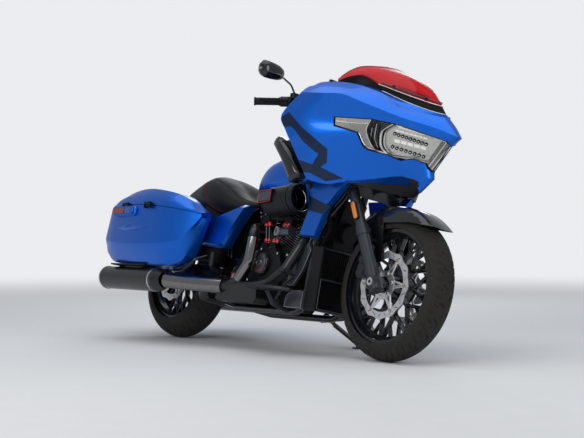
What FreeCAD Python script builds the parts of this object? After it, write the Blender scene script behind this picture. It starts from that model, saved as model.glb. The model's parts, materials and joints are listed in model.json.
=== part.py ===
"""Touring cruiser motorcycle with a frame-mounted fairing, saddlebags and an open V-twin engine.

Every shape is drawn on the upright machine: X points forward from the rear axle, Y to the rider's
left, Z up from the floor. The last step leans the whole machine onto its side stand and puts the
origin on the floor, in the middle of the parked machine's footprint. All lengths are millimetres.
"""

import FreeCAD
import Part
import math
import os

from FreeCAD import Vector

# Stance
WHEELBASE = 1625.0
RAKE = 26.0
TRAIL = 170.0
FORK_ANGLE = 29.25
LEAN = 11.8

# Wheels and tyres
FRONT_RADIUS = 319.0
FRONT_WIDTH = 130.0
FRONT_RIM_RADIUS = 241.3
FRONT_RIM_WIDTH = 89.0
REAR_RADIUS = 327.5
REAR_WIDTH = 180.0
REAR_RIM_RADIUS = 228.6
REAR_RIM_WIDTH = 127.0
CARCASS = 9.0
BEAD_DEPTH = 14.0
BEAD_RISE = 6.0
RIM_WALL = 6.0
FLANGE = 8.0
SPOKES = 9
DISC_THICK = 5.0
FRONT_DISC_RADIUS = 150.0
FRONT_DISC_OFFSET = 68.0
REAR_DISC_RADIUS = 146.0
REAR_DISC_OFFSET = 92.0
PULLEY_RADIUS = 112.0
PULLEY_OFFSET = 112.0
BELT_WIDTH = 26.0
AXLE_RADIUS = 12.5
AXLE_BORE = 7.0
FRONT_HUB_WIDTH = 150.0
REAR_HUB_WIDTH = 196.0
HUB_RADIUS = 36.0

# Front end
FORK_SPACING = 125.0
FORK_TUBE_RADIUS = 24.5
FORK_SLIDER_RADIUS = 31.0
FORK_SLIDER_TOP = 255.0
FORK_TUBE_TOP = 792.0
STEM_RADIUS = 16.0
HEAD_RADIUS = 34.0
STAND_EYE = 9.0
HEAD_LOW = 800.0
HEAD_HIGH = 930.0
BAR_RADIUS = 12.7
GRIP_RADIUS = 17.5
GRIP_LENGTH = 122.0
FENDER_GAP = 26.0
FENDER_CENTRE = -62.0
FENDER_RADIUS = 382.0
FENDER_HALF = 104.0
SKIN = 3.0
DASH = 1344.0
DIALS = ((-146, 28), (-62, 38), (62, 38), (146, 28))

# Frame and running gear
TUBE_RADIUS = 17.0
RAIL_OFFSET = 112.0
RAIL_HEIGHT = 172.0
RAIL_SPREAD = 122.0
RAIL_RADIUS = 15.0
BACKBONE_RADIUS = 29.0
PIVOT_RADIUS = 24.0
SHOCK_OFFSET = 186.0
ARM_INNER = 134.0
ARM_OUTER = 158.0
PIVOT = Vector(505.0, 0.0, 335.0)
CRANK = Vector(866.0, 0.0, 345.0)
CYLINDER_ANGLE = 22.5
BARREL_RADIUS = 56.0
BARREL_LOW = 130.0
FIN_RADIUS = 72.0
FIN_COUNT = 9
LIFTER_TOP = 486.0
FIN_THICK = 3.0
PIPE_RADIUS = 25.0
SHIELD_RADIUS = 30.0
MUFFLER_RADIUS = 61.5
MUFFLER_OFFSET = 330.0
MUFFLER_HEIGHT = 256.0
MUFFLER_REAR = -286.0
MUFFLER_FRONT = 304.0

# Clearances
FIT = 0.3
RUNNING = 0.05

FLOOR_UP = Vector(0, 0, 1)
LEFT = Vector(0, 1, 0)
FORWARD = Vector(1, 0, 0)
REAR_AXLE = Vector(0, 0, REAR_RADIUS)
FRONT_AXLE = Vector(WHEELBASE, 0, FRONT_RADIUS)


def steering_point(height):
    """The point of the steering axis at a height above the floor."""
    return Vector(WHEELBASE + TRAIL - height * math.tan(math.radians(RAKE)), 0, height)


STEER_AXIS = Vector(-math.sin(math.radians(RAKE)), 0, math.cos(math.radians(RAKE)))
FORK_AXIS = Vector(-math.sin(math.radians(FORK_ANGLE)), 0, math.cos(math.radians(FORK_ANGLE)))


def fork_point(along, side=0.0, ahead=0.0):
    """A point on the fork leg's line, measured up it from the front axle."""
    across = Vector(math.cos(math.radians(FORK_ANGLE)), 0, math.sin(math.radians(FORK_ANGLE)))
    return FRONT_AXLE + FORK_AXIS * along + across * ahead + LEFT * side


# Small modelling tools


def mirrored(shape):
    return shape.mirror(Vector(0, 0, 0), LEFT)


def pair(shape):
    """A shape on the right and its twin on the left."""
    return [shape, mirrored(shape)]


def fused(shapes):
    shapes = list(shapes)
    whole = shapes[0] if len(shapes) == 1 else shapes[0].multiFuse(shapes[1:])
    return whole.removeSplitter()


def rod(start, end, radius):
    """A round bar from one point to another."""
    run = end - start
    return Part.makeCylinder(radius, run.Length, start, run)


def cone(start, end, radius_start, radius_end):
    run = end - start
    return Part.makeCone(radius_start, radius_end, run.Length, start, run)


def slab(outline, low, high):
    """A flat piece: an outline of (x, z) points, standing from y = low to y = high."""
    points = [Vector(x, low, z) for x, z in outline]
    return Part.Face(Part.makePolygon(points + points[:1])).extrude(LEFT * (high - low))


def plate(outline, low, high):
    """A flat piece: an outline of (x, y) points, standing from z = low to z = high."""
    points = [Vector(x, y, low) for x, y in outline]
    return Part.Face(Part.makePolygon(points + points[:1])).extrude(FLOOR_UP * (high - low))


def block(low, high):
    size = high - low
    return Part.makeBox(size.x, size.y, size.z, low)


def turned(profile, centre):
    """A ring about an axle along Y, from a closed profile of (y, radius) points in either order."""
    area = sum(a[0] * b[1] - b[0] * a[1] for a, b in zip(profile, profile[1:] + profile[:1]))
    ordered = profile if area < 0 else profile[::-1]
    points = [centre + Vector(0, y, r) for y, r in ordered]
    return Part.Face(Part.makePolygon(points + points[:1])).revolve(centre, LEFT, 360)


BUILT = {}


def built(maker):
    """A node's solids as one shape, made once and kept for the nodes that seat on it."""
    if maker not in BUILT:
        BUILT[maker] = Part.makeCompound(maker())
    return BUILT[maker]


def bent_path(points, bend):
    """Straight runs joined by tangent arcs of one radius, shortened where a run is too short."""
    edges = []
    start = points[0]
    for before, corner, after in zip(points, points[1:], points[2:]):
        back = (before - corner).normalize()
        ahead = (after - corner).normalize()
        half = back.getAngle(ahead) / 2
        reach = min(bend / math.tan(half), 0.45 * (corner - before).Length, 0.45 * (after - corner).Length)
        entry = corner + back * reach
        leave = corner + ahead * reach
        radius = reach * math.tan(half)
        middle = corner + (back + ahead).normalize() * (radius / math.sin(half) - radius)
        edges.append(Part.LineSegment(start, entry).toShape())
        edges.append(Part.Arc(entry, middle, leave).toShape())
        start = leave
    edges.append(Part.LineSegment(start, points[-1]).toShape())
    return Part.Wire(edges)


def pipe(points, radius, bend):
    """A solid round tube along bent_path."""
    path = bent_path(points, bend)
    run = points[1] - points[0]
    ring = Part.Wire(Part.makeCircle(radius, points[0], run))
    return path.makePipeShell([ring], True, True)


def facet_solid(points, faces):
    """A closed solid of flat facets. Each face lists point numbers."""
    made = []
    for face in faces:
        corners = [points[i] for i in face]
        made.append(Part.Face(Part.makePolygon(corners + corners[:1])))
    solid = Part.makeSolid(Part.makeShell(made))
    if solid.Volume < 0:
        solid = Part.makeSolid(Part.makeShell([f.reversed() for f in made]))
    return solid


def between(a, b, c, d, t):
    """Catmull-Rom: the point a share t of the way from b to c."""
    return (b * 2 + (c - a) * t + (a * 2 - b * 5 + c * 4 - d) * t ** 2 + (b * 3 - a - c * 3 + d) * t ** 3) * 0.5


def refined(row, parts, closed=False):
    """A smooth row of points through the given ones, with each gap split into parts."""
    count = len(row)
    gaps = count if closed else count - 1
    fine = []
    for i in range(gaps):
        if closed:
            a, b, c, d = (row[(i + k) % count] for k in (-1, 0, 1, 2))
        else:
            b, c = row[i], row[i + 1]
            a = row[i - 1] if i else b * 2 - c
            d = row[i + 2] if i + 2 < count else c * 2 - b
        fine += [between(a, b, c, d, k / parts) for k in range(parts)]
    return fine if closed else fine + [row[-1]]


def sheet(grid, thickness):
    """A thin panel: a grid of points, thickened to the inner side of the grid."""
    rows, columns = len(grid), len(grid[0])
    inner = []
    for i in range(rows):
        for j in range(columns):
            along = grid[min(i + 1, rows - 1)][j] - grid[max(i - 1, 0)][j]
            across = grid[i][min(j + 1, columns - 1)] - grid[i][max(j - 1, 0)]
            inner.append(grid[i][j] + along.cross(across).normalize() * thickness)
    points = [p for row in grid for p in row] + inner
    half = rows * columns
    faces = []

    def quad(a, b, c, d):
        faces.append((a, b, c))
        faces.append((a, c, d))

    for i in range(rows - 1):
        for j in range(columns - 1):
            a, b = i * columns + j, i * columns + j + 1
            c, d = b + columns, a + columns
            quad(a, b, c, d)
            quad(d + half, c + half, b + half, a + half)
    for j in range(columns - 1):
        a, b = j, j + 1
        quad(b, a, a + half, b + half)
        a, b = (rows - 1) * columns + j, (rows - 1) * columns + j + 1
        quad(a, b, b + half, a + half)
    for i in range(rows - 1):
        a, d = i * columns, (i + 1) * columns
        quad(a, d, d + half, a + half)
        b, c = a + columns - 1, d + columns - 1
        quad(c, b, b + half, c + half)
    return facet_solid(points, faces)


def body(rings):
    """A closed solid through rings of points, each end closed by a fan."""
    count = len(rings[0])
    points = [p for ring in rings for p in ring]
    faces = []
    for i in range(len(rings) - 1):
        for j in range(count):
            a, b = i * count + j, i * count + (j + 1) % count
            faces.append((a, b, b + count))
            faces.append((a, b + count, a + count))
    for first, order in ((0, 1), ((len(rings) - 1) * count, -1)):
        ring = points[first:first + count]
        centre = sum(ring, Vector()) * (1.0 / count)
        points.append(centre)
        for j in range(count):
            corner = (first + j, first + (j + 1) % count)
            faces.append((len(points) - 1, corner[1], corner[0])
                         if order == 1 else (len(points) - 1, *corner))
    return facet_solid(points, faces)


def tub(outer, inner):
    """A thin-walled trough through open rings of points: outer and inner skins, rims and end walls."""
    count = len(outer[0])
    points = [p for ring in outer for p in ring] + [p for ring in inner for p in ring]
    shift = len(outer) * count
    last = (len(outer) - 1) * count
    faces = []

    def quad(a, b, c, d):
        faces.append((a, b, c))
        faces.append((a, c, d))

    for row in range(0, last, count):
        for j in range(row, row + count - 1):
            quad(j, j + 1, j + 1 + count, j + count)
            quad(j + count + shift, j + 1 + count + shift, j + 1 + shift, j + shift)
        quad(row, row + count, row + count + shift, row + shift)
        end = row + count - 1
        quad(end + shift, end + count + shift, end + count, end)
    for first, forwards in ((0, False), (last, True), (shift, True), (last + shift, False)):
        ring = points[first:first + count]
        points.append(sum(ring, Vector()) * (1.0 / count))
        for j in range(count):
            a, b = first + j, first + (j + 1) % count
            faces.append((a, b, len(points) - 1) if forwards else (b, a, len(points) - 1))
    for first, forwards in ((0, True), (last, False)):
        a, b = first, first + count - 1
        if forwards:
            quad(b, a, a + shift, b + shift)
        else:
            quad(a, b, b + shift, a + shift)
    return facet_solid(points, faces)


def arch(x, width, low, high, power, count=16, hollow=0.0):
    """A ring across the machine at x: a rounded arch of half width, from low to high."""
    ring = []
    for k in range(count):
        angle = 2 * math.pi * k / count
        y, z = math.cos(angle), math.sin(angle)
        y = math.copysign(abs(y) ** (2 / power), y)
        z = math.copysign(abs(z) ** (2 / power), z)
        dip = hollow * (1 - abs(y)) * max(z, 0)
        ring.append(Vector(x, y * width, (low + high) / 2 + z * (high - low) / 2 - dip))
    return ring


# Wheels


def tyre(centre, radius, width, rim_radius, rim_width):
    """A round-crowned tyre, hollow inside, its beads between the rim's flanges."""
    half = width / 2
    bead = rim_width / 2 - FIT
    shoulder = radius - half
    flange_top = rim_radius + BEAD_DEPTH + 1.5
    side = [(bead, rim_radius + FIT), (bead, flange_top), (bead + FLANGE + 2, flange_top + 3),
            (half - 3, shoulder - 0.35 * (shoulder - rim_radius))]
    crown = []
    for k in range(13):
        angle = math.radians(180.0 * k / 12)
        y, r = half * math.cos(angle), shoulder + half * math.sin(angle)
        if r > shoulder + 2:
            crown.append((y, r))
    outer = side + crown + [(-y, r) for y, r in side[::-1]]
    inner = [(CARCASS - bead, rim_radius + FIT), (CARCASS - bead, flange_top + BEAD_RISE)]
    for k in range(9):
        angle = math.radians(15 + 150.0 * k / 8)
        inner.append(((CARCASS - half) * math.cos(angle), shoulder + (half - CARCASS) * math.sin(angle)))
    inner += [(bead - CARCASS, flange_top + BEAD_RISE), (bead - CARCASS, rim_radius + FIT)]
    return turned(outer + inner, centre)


def rim(centre, rim_radius, rim_width, hub_width, spokes):
    """A cast wheel: a dropped-centre rim, a hub and forked spokes between them."""
    half = rim_width / 2
    barrel = turned([
        (half + FLANGE, rim_radius + BEAD_DEPTH), (half, rim_radius + BEAD_DEPTH), (half, rim_radius),
        (half - 16, rim_radius - 3), (half - 24, rim_radius - 18), (24 - half, rim_radius - 18),
        (16 - half, rim_radius - 3), (-half, rim_radius), (-half, rim_radius + BEAD_DEPTH),
        (-half - FLANGE, rim_radius + BEAD_DEPTH), (-half - FLANGE, rim_radius - RIM_WALL),
        (10 - half, rim_radius - 12), (30 - half, rim_radius - 28), (half - 30, rim_radius - 28),
        (half - 10, rim_radius - 12), (half + FLANGE, rim_radius - RIM_WALL)], centre)
    hub = rod(centre - LEFT * hub_width / 2, centre + LEFT * hub_width / 2, HUB_RADIUS)
    flange = rod(centre - LEFT * hub_width * 0.38, centre + LEFT * hub_width * 0.38, HUB_RADIUS + 20)
    reach = rim_radius - 24
    split = 0.52 * reach
    pieces = [barrel, hub, flange]
    spread = 180.0 / spokes
    for k in range(spokes):
        turn = 360.0 * k / spokes
        start = polar(centre, HUB_RADIUS + 8, turn)
        fork = polar(centre, split, turn)
        pieces.append(bar(start, fork, 26, 17, 34, 26))
        for side in (-1, 1):
            tip = polar(centre, reach, turn + side * spread * 0.92)
            pieces.append(bar(fork, tip, 15, 13, 26, 30))
            inner_tip = polar(centre, reach, turn + side * spread * 0.3)
            middle = polar(centre, 0.5 * (split + reach), turn + side * spread * 0.5)
            pieces.append(bar(middle, inner_tip, 10, 10, 22, 26))
    whole = fused(pieces)
    bore = rod(centre - LEFT * hub_width, centre + LEFT * hub_width, AXLE_RADIUS + RUNNING)
    return whole.cut(bore)


def polar(centre, radius, angle):
    """A point of a wheel's middle plane, its angle measured from straight ahead, upwards."""
    a = math.radians(angle)
    return centre + Vector(radius * math.cos(a), 0, radius * math.sin(a))


def bar(start, end, wide_start, wide_end, deep_start, deep_end):
    """A tapered spoke with a four-sided section, wide in the wheel's plane and deep along Y."""
    run = (end - start).normalize()
    side = run.cross(LEFT).normalize()
    wires = []
    for point, wide, deep in ((start, wide_start, deep_start), (end, wide_end, deep_end)):
        corners = [
            point + side * (0.5 * wide) + LEFT * (0.3 * deep),
            point + side * (0.2 * wide) + LEFT * (0.5 * deep),
            point - side * (0.2 * wide) + LEFT * (0.5 * deep),
            point - side * (0.5 * wide) + LEFT * (0.3 * deep),
            point - side * (0.5 * wide) - LEFT * (0.3 * deep),
            point - side * (0.2 * wide) - LEFT * (0.5 * deep),
            point + side * (0.2 * wide) - LEFT * (0.5 * deep),
            point + side * (0.5 * wide) - LEFT * (0.3 * deep)]
        wires.append(Part.makePolygon(corners + corners[:1]))
    return Part.makeLoft(wires, True, True)


def wave_disc(centre, offset, radius, waves, carrier_radius):
    """A brake disc with a scalloped edge and raked slots, on a spidered carrier."""
    inner = radius - 34
    outline = []
    for k in range(waves * 6):
        angle = 360.0 * k / (waves * 6)
        swell = 4.0 * math.cos(math.radians(angle * waves))
        outline.append(polar(centre, radius - 4 + swell, angle) + LEFT * (offset - DISC_THICK / 2))
    disc = Part.Face(Part.makePolygon(outline + outline[:1])).extrude(LEFT * DISC_THICK)
    disc = disc.cut(rod(centre + LEFT * (offset - DISC_THICK), centre + LEFT * (offset + DISC_THICK),
                        inner))
    slots = []
    for k in range(waves * 2):
        angle = 360.0 * k / (waves * 2)
        lean_in = 16 if k % 2 else -16
        a = polar(centre, radius - 27, angle - lean_in * 0.22)
        b = polar(centre, radius - 11, angle + lean_in * 0.22)
        side = (b - a).normalize().cross(LEFT) * 1.7
        corners = [p + LEFT * (offset - DISC_THICK) for p in (a + side, b + side, b - side, a - side)]
        slots.append(Part.Face(Part.makePolygon(corners + corners[:1])).extrude(LEFT * DISC_THICK * 2))
    disc = disc.cut(Part.makeCompound(slots))
    hub = turned([(offset - 4, carrier_radius), (offset + 4, carrier_radius),
                  (offset + 4, HUB_RADIUS + FIT), (offset - 4, HUB_RADIUS + FIT)], centre)
    arms = []
    for k in range(6):
        turn = 60.0 * k
        arms.append(bar(polar(centre, carrier_radius - 4, turn - 8) + LEFT * offset,
                        polar(centre, inner + 6, turn) + LEFT * offset, 14, 12, 5, 5))
        arms.append(bar(polar(centre, carrier_radius - 4, turn + 18) + LEFT * offset,
                        polar(centre, inner + 6, turn) + LEFT * offset, 10, 12, 5, 5))
    return fused([disc, hub] + arms)


def front_discs():
    right = wave_disc(FRONT_AXLE, -FRONT_DISC_OFFSET, FRONT_DISC_RADIUS, 12, 62.0)
    return pair(right)


def rear_disc():
    return [wave_disc(REAR_AXLE, -REAR_DISC_OFFSET, REAR_DISC_RADIUS, 12, 66.0)]


def belt_pulley():
    """The toothed pulley on the left of the rear hub."""
    teeth = 66
    outline = []
    for k in range(teeth * 2):
        radius = PULLEY_RADIUS - (0 if k % 2 else 3.5)
        outline.append(polar(REAR_AXLE, radius,
                             360.0 * (k + 0.3) / (teeth * 2)) + LEFT * (PULLEY_OFFSET - 15))
    gear = Part.Face(Part.makePolygon(outline + outline[:1])).extrude(LEFT * 30)
    windows = []
    for k in range(6):
        hole = polar(REAR_AXLE, 76, 60.0 * k)
        windows.append(rod(hole + LEFT * (PULLEY_OFFSET - 20), hole + LEFT * (PULLEY_OFFSET + 20), 19))
    bore = rod(REAR_AXLE + LEFT * (PULLEY_OFFSET - 20), REAR_AXLE + LEFT * (PULLEY_OFFSET + 20),
               HUB_RADIUS + FIT)
    return [gear.cut(Part.makeCompound(windows + [bore]))]


# Front end


def front_axle():
    """The hollow front axle with a collar at each end."""
    reach = FORK_SPACING + 24
    shaft = rod(FRONT_AXLE - LEFT * reach, FRONT_AXLE + LEFT * reach, AXLE_RADIUS)
    bore = rod(FRONT_AXLE - LEFT * (reach + 9), FRONT_AXLE + LEFT * (reach + 9), AXLE_BORE)
    caps = [rod(FRONT_AXLE + LEFT * s * reach, FRONT_AXLE + LEFT * s * (reach + 6), 17) for s in (-1, 1)]
    spacers = []
    inner = FRONT_HUB_WIDTH / 2 + FIT
    outer = FORK_SPACING - FORK_SLIDER_RADIUS - FIT
    for s in (-1, 1):
        spacers.append(rod(FRONT_AXLE + LEFT * s * inner, FRONT_AXLE + LEFT * s * outer, 18))
    return [fused([shaft] + caps + spacers).cut(bore)]


def fork_sliders():
    """The lower fork legs: an axle clamp, a rib behind and a stepped collar at the top."""
    side = -FORK_SPACING
    leg = rod(fork_point(-34, side), fork_point(FORK_SLIDER_TOP, side), FORK_SLIDER_RADIUS - 3)
    foot = rod(fork_point(-40, side), fork_point(60, side), FORK_SLIDER_RADIUS)
    collar = rod(fork_point(FORK_SLIDER_TOP - 24, side), fork_point(FORK_SLIDER_TOP, side),
                 FORK_SLIDER_RADIUS)
    clamp = rod(FRONT_AXLE + LEFT * (side - 24), FRONT_AXLE + LEFT * (side + FORK_SLIDER_RADIUS), 30)
    ribs = []
    for ahead in (-27, 27):
        ribs.append(rod(fork_point(50, side, ahead), fork_point(FORK_SLIDER_TOP - 30, side, ahead), 5))
    lug = rod(fork_point(95, side + 12, -26), fork_point(190, side + 12, -26), 11)
    leg = fused([leg, foot, collar, clamp, lug] + ribs)
    leg = leg.cut(rod(FRONT_AXLE - LEFT * 200, FRONT_AXLE, AXLE_RADIUS + FIT))
    leg = leg.cut(rod(FRONT_AXLE - LEFT * (FORK_SPACING - FORK_SLIDER_RADIUS), FRONT_AXLE, 60))
    leg = leg.cut(rod(FRONT_AXLE - LEFT * 200, FRONT_AXLE - LEFT * (FORK_SPACING + 24), 17 + FIT))
    tube = rod(fork_point(40, side), fork_point(FORK_SLIDER_TOP + 5, side), FORK_TUBE_RADIUS + FIT)
    return pair(leg.cut(tube))


def fork_tubes():
    side = -FORK_SPACING
    tube = rod(fork_point(42, side), fork_point(FORK_TUBE_TOP, side), FORK_TUBE_RADIUS)
    tube = tube.cut(rod(FRONT_AXLE - LEFT * 200, FRONT_AXLE, AXLE_RADIUS + FIT))
    boot = rod(fork_point(FORK_SLIDER_TOP + FIT, side), fork_point(FORK_SLIDER_TOP + 26, side),
               FORK_TUBE_RADIUS + 5)
    cap = rod(fork_point(FORK_TUBE_TOP, side), fork_point(FORK_TUBE_TOP + 8, side), 19)
    return pair(fused([tube, boot, cap]))


def clamp_plate(height, thick, clamp_radius):
    """One triple clamp, square to the fork legs, with the steering stem's boss."""
    along = (height - FRONT_RADIUS) / math.cos(math.radians(FORK_ANGLE))
    stem = steering_point(height)
    middle = fork_point(along)
    up = FORK_AXIS * (thick / 2)
    pieces = []
    for side in (-FORK_SPACING, FORK_SPACING):
        centre = fork_point(along, side)
        pieces.append(rod(centre - up, centre + up, clamp_radius))
    boss = Vector(stem.x, 0, stem.z)
    half = STEER_AXIS * (thick / 2)
    pieces.append(rod(boss - half, boss + half, STEM_RADIUS + 16))
    corners = [fork_point(along, -FORK_SPACING, -26), fork_point(along, -FORK_SPACING, 26),
               boss + FORWARD * 24 - LEFT * 34, boss + FORWARD * 24 + LEFT * 34,
               fork_point(along, FORK_SPACING, 26), fork_point(along, FORK_SPACING, -26),
               middle - FORWARD * 34]
    flat = [c - FORK_AXIS * ((c - middle).dot(FORK_AXIS) + thick / 2) for c in corners]
    pieces.append(Part.Face(Part.makePolygon(flat + flat[:1])).extrude(FORK_AXIS * thick))
    return fused(pieces)


def triple_clamps():
    """Both fork yokes, joined by the steering stem, with the bar risers on the upper one."""
    low, high = HEAD_LOW - 56, HEAD_HIGH + 30
    lower = clamp_plate(low, 34, 38)
    upper = clamp_plate(high, 28, 36)
    stem = rod(steering_point(low), steering_point(high), STEM_RADIUS - RUNNING)
    risers = []
    for side in (-48, 48):
        foot = fork_point((high - FRONT_RADIUS) / math.cos(math.radians(FORK_ANGLE)) + 12, side)
        risers.append(rod(foot, BAR_CLAMP + LEFT * side - FLOOR_UP * 8, 15))
        risers.append(rod(BAR_CLAMP + LEFT * (side - 17), BAR_CLAMP + LEFT * (side + 17), BAR_RADIUS + 9))
    yoke = fused([lower, upper, stem] + risers)
    cuts = [rod(BAR_CLAMP - LEFT * 90, BAR_CLAMP + LEFT * 90, BAR_RADIUS + FIT)]
    for side in (-FORK_SPACING, FORK_SPACING):
        cuts.append(rod(fork_point(380, side), fork_point(FORK_TUBE_TOP + 4, side), FORK_TUBE_RADIUS + FIT))
    return [yoke.cut(Part.makeCompound(cuts))]


BAR_CLAMP = Vector(1238.0, 0.0, 1052.0)
GRIP_INNER = Vector(1000.0, -292.0, 1128.0)
GRIP_OUTER = Vector(908.0, -402.0, 1108.0)
BAR_ELBOW = Vector(1176.0, -224.0, 1128.0)
GRIP_LINE = (GRIP_OUTER - GRIP_INNER).normalize()


def bar_route():
    """The right half of the handlebar, from its middle out to the grip's end."""
    return [BAR_CLAMP, BAR_CLAMP + Vector(0, -96, 0), BAR_ELBOW, GRIP_INNER,
            GRIP_INNER + GRIP_LINE * (GRIP_LENGTH + 12)]


def handlebar():
    right = pipe(bar_route(), BAR_RADIUS, 60)
    return [fused(pair(right))]


def grips():
    start = GRIP_INNER + GRIP_LINE * 18
    end = start + GRIP_LINE * GRIP_LENGTH
    grip = rod(start, end, GRIP_RADIUS)
    ends = [rod(start, start + GRIP_LINE * 6, GRIP_RADIUS + 3),
            rod(end - GRIP_LINE * 8, end, GRIP_RADIUS + 2)]
    grip = fused([grip] + ends)
    return pair(grip.cut(rod(start - GRIP_LINE, end - GRIP_LINE * 4, BAR_RADIUS + FIT)))


def hand_controls():
    """Switch housing, lever bracket, reservoir and lever inboard of each grip."""
    inward = (BAR_ELBOW - GRIP_INNER).normalize()
    near = GRIP_INNER + GRIP_LINE * 17
    far = GRIP_INNER + inward * 30
    ahead = GRIP_LINE.cross(FLOOR_UP).normalize()
    ahead = ahead if ahead.x > 0 else ahead * -1
    parts = [rod(GRIP_INNER, near, 24), rod(GRIP_INNER, far, 24), Part.makeSphere(24, GRIP_INNER),
             rod(far, far + inward * 40, 20)]
    pivot = far + inward * 4 + ahead * 32
    parts += [rod(far + inward * 4, pivot, 11), rod(pivot - FLOOR_UP * 8, pivot + FLOOR_UP * 10, 11)]
    tank_low = far + inward * 24 + ahead * 26 + FLOOR_UP * 4
    parts += [rod(tank_low, tank_low + FLOOR_UP * 26, 21),
              rod(far + inward * 24, tank_low + FLOOR_UP * 8, 12)]
    tip = GRIP_INNER + GRIP_LINE * (GRIP_LENGTH - 14) + ahead * 40
    bend = GRIP_INNER + GRIP_LINE * 26 + ahead * 44
    parts += [pipe([pivot, bend, tip], 6.5, 40), Part.makeSphere(8.5, tip)]
    ring = Part.Wire(Part.makeCircle(BAR_RADIUS + FIT, BAR_CLAMP, Vector(0, -1, 0)))
    whole = fused(parts).cut(bent_path(bar_route(), 60).makePipeShell([ring], True, True))
    return pair(largest(whole.cut(built(grips))))


def mirrors():
    """A rounded mirror head on a thin stem from each lever bracket."""
    inward = (BAR_ELBOW - GRIP_INNER).normalize()
    foot = GRIP_INNER + inward * 62 + FLOOR_UP * (20 + FIT)
    centre = Vector(1032, -412, 1238)
    elbow = Vector(1074, -322, 1192)
    stem = pipe([foot, elbow, centre + Vector(10, 14, 2)], 4.5, 30)
    base = rod(foot, foot + FLOOR_UP * 12, 8)
    rings = []
    for depth, wide, tall in ((-14, 68, 36), (0, 72, 40), (12, 64, 35), (22, 40, 20)):
        ring = []
        for k in range(20):
            angle = 2 * math.pi * k / 20
            y, z = math.cos(angle), math.sin(angle)
            y = math.copysign(abs(y) ** 0.7, y)
            z = math.copysign(abs(z) ** 0.75, z)
            ring.append(centre + Vector(depth, -y * wide, z * tall * (1 + 0.18 * y)))
        rings.append(ring)
    whole = fused([body(rings), stem, base])
    return pair(largest(whole.cut(built(hand_controls))))


def front_fender():
    """A fender of constant section round the tyre, trimmed to a beak ahead, with a tab on each leg."""
    inner = FRONT_RADIUS + FENDER_GAP
    half = FRONT_WIDTH / 2 + 12
    skirt = inner - 74
    outside = [(-half - SKIN, skirt), (-half - SKIN, inner - 24), (-half + 7, inner - 4),
               (-half + 25, inner + SKIN),
               (half - 25, inner + SKIN), (half - 7, inner - 4), (half + SKIN, inner - 24),
               (half + SKIN, skirt)]
    inside = [(half, skirt), (half, inner - 26), (half - 9, inner - 8), (half - 26, inner),
              (26 - half, inner), (9 - half, inner - 8), (-half, inner - 26), (-half, skirt)]
    ring = [FRONT_AXLE + Vector(0, y, r) for y, r in outside + inside]
    face = Part.Face(Part.makePolygon(ring + ring[:1]))
    face.rotate(FRONT_AXLE, LEFT, -36)
    shell = face.revolve(FRONT_AXLE, LEFT, 80)
    x, z = FRONT_AXLE.x, FRONT_AXLE.z
    below = slab([(x - 300, z + 150), (x - 60, z + 150), (x - 50, z + 271), (x + 105, z + 271),
                  (x + 205, z + 257),
                  (x + 420, z + 236), (x + 420, z - 60), (x - 300, z - 60)], -200, 200)
    shell = largest(shell.cut(below))
    tab = slab([(x - 150, z + 260), (x - 118, z + 98), (x - 26, z + 98), (x - 50, z + 271),
                (x - 60, z + 290)],
               -half - SKIN, -half)
    lug = rod(fork_point(215, -half - SKIN), fork_point(215, -FORK_SPACING + FORK_SLIDER_RADIUS - 4), 14)
    whole = fused([shell] + pair(tab) + pair(lug))
    return [largest(whole.cut(built(fork_sliders)))]


def front_calipers():
    """Calipers behind the fork legs, each carried on its leg's lug."""
    shape = caliper(-FRONT_DISC_OFFSET, FRONT_AXLE, FRONT_DISC_RADIUS, 152)
    seat = polar(FRONT_AXLE, FRONT_DISC_RADIUS + 8, 141)
    ear = rod(seat - LEFT * 110, seat - LEFT * 80, 17)
    beside = built(fork_sliders).fuse(built(front_fender))
    return [largest(fused([p, e]).cut(beside)) for p, e in zip(pair(shape), pair(ear))]


# Frame and running gear


def seat_rail(extra=0.0):
    """The right rail under the seat, from the backbone's rear to the tail."""
    return pipe([Vector(700, -28, 742), Vector(520, -108, 606), Vector(380, -RAIL_SPREAD, 560),
                 Vector(40, -RAIL_SPREAD, 640)], RAIL_RADIUS + extra, 60)


def backbone(extra=0.0):
    """The tube from the steering head down to the rear of the cradle."""
    return pipe([steering_point(HEAD_HIGH - 52), Vector(1080, 0, 788), Vector(700, 0, 742),
                 Vector(452, 0, 600)],
                BACKBONE_RADIUS + extra, 120)


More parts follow.
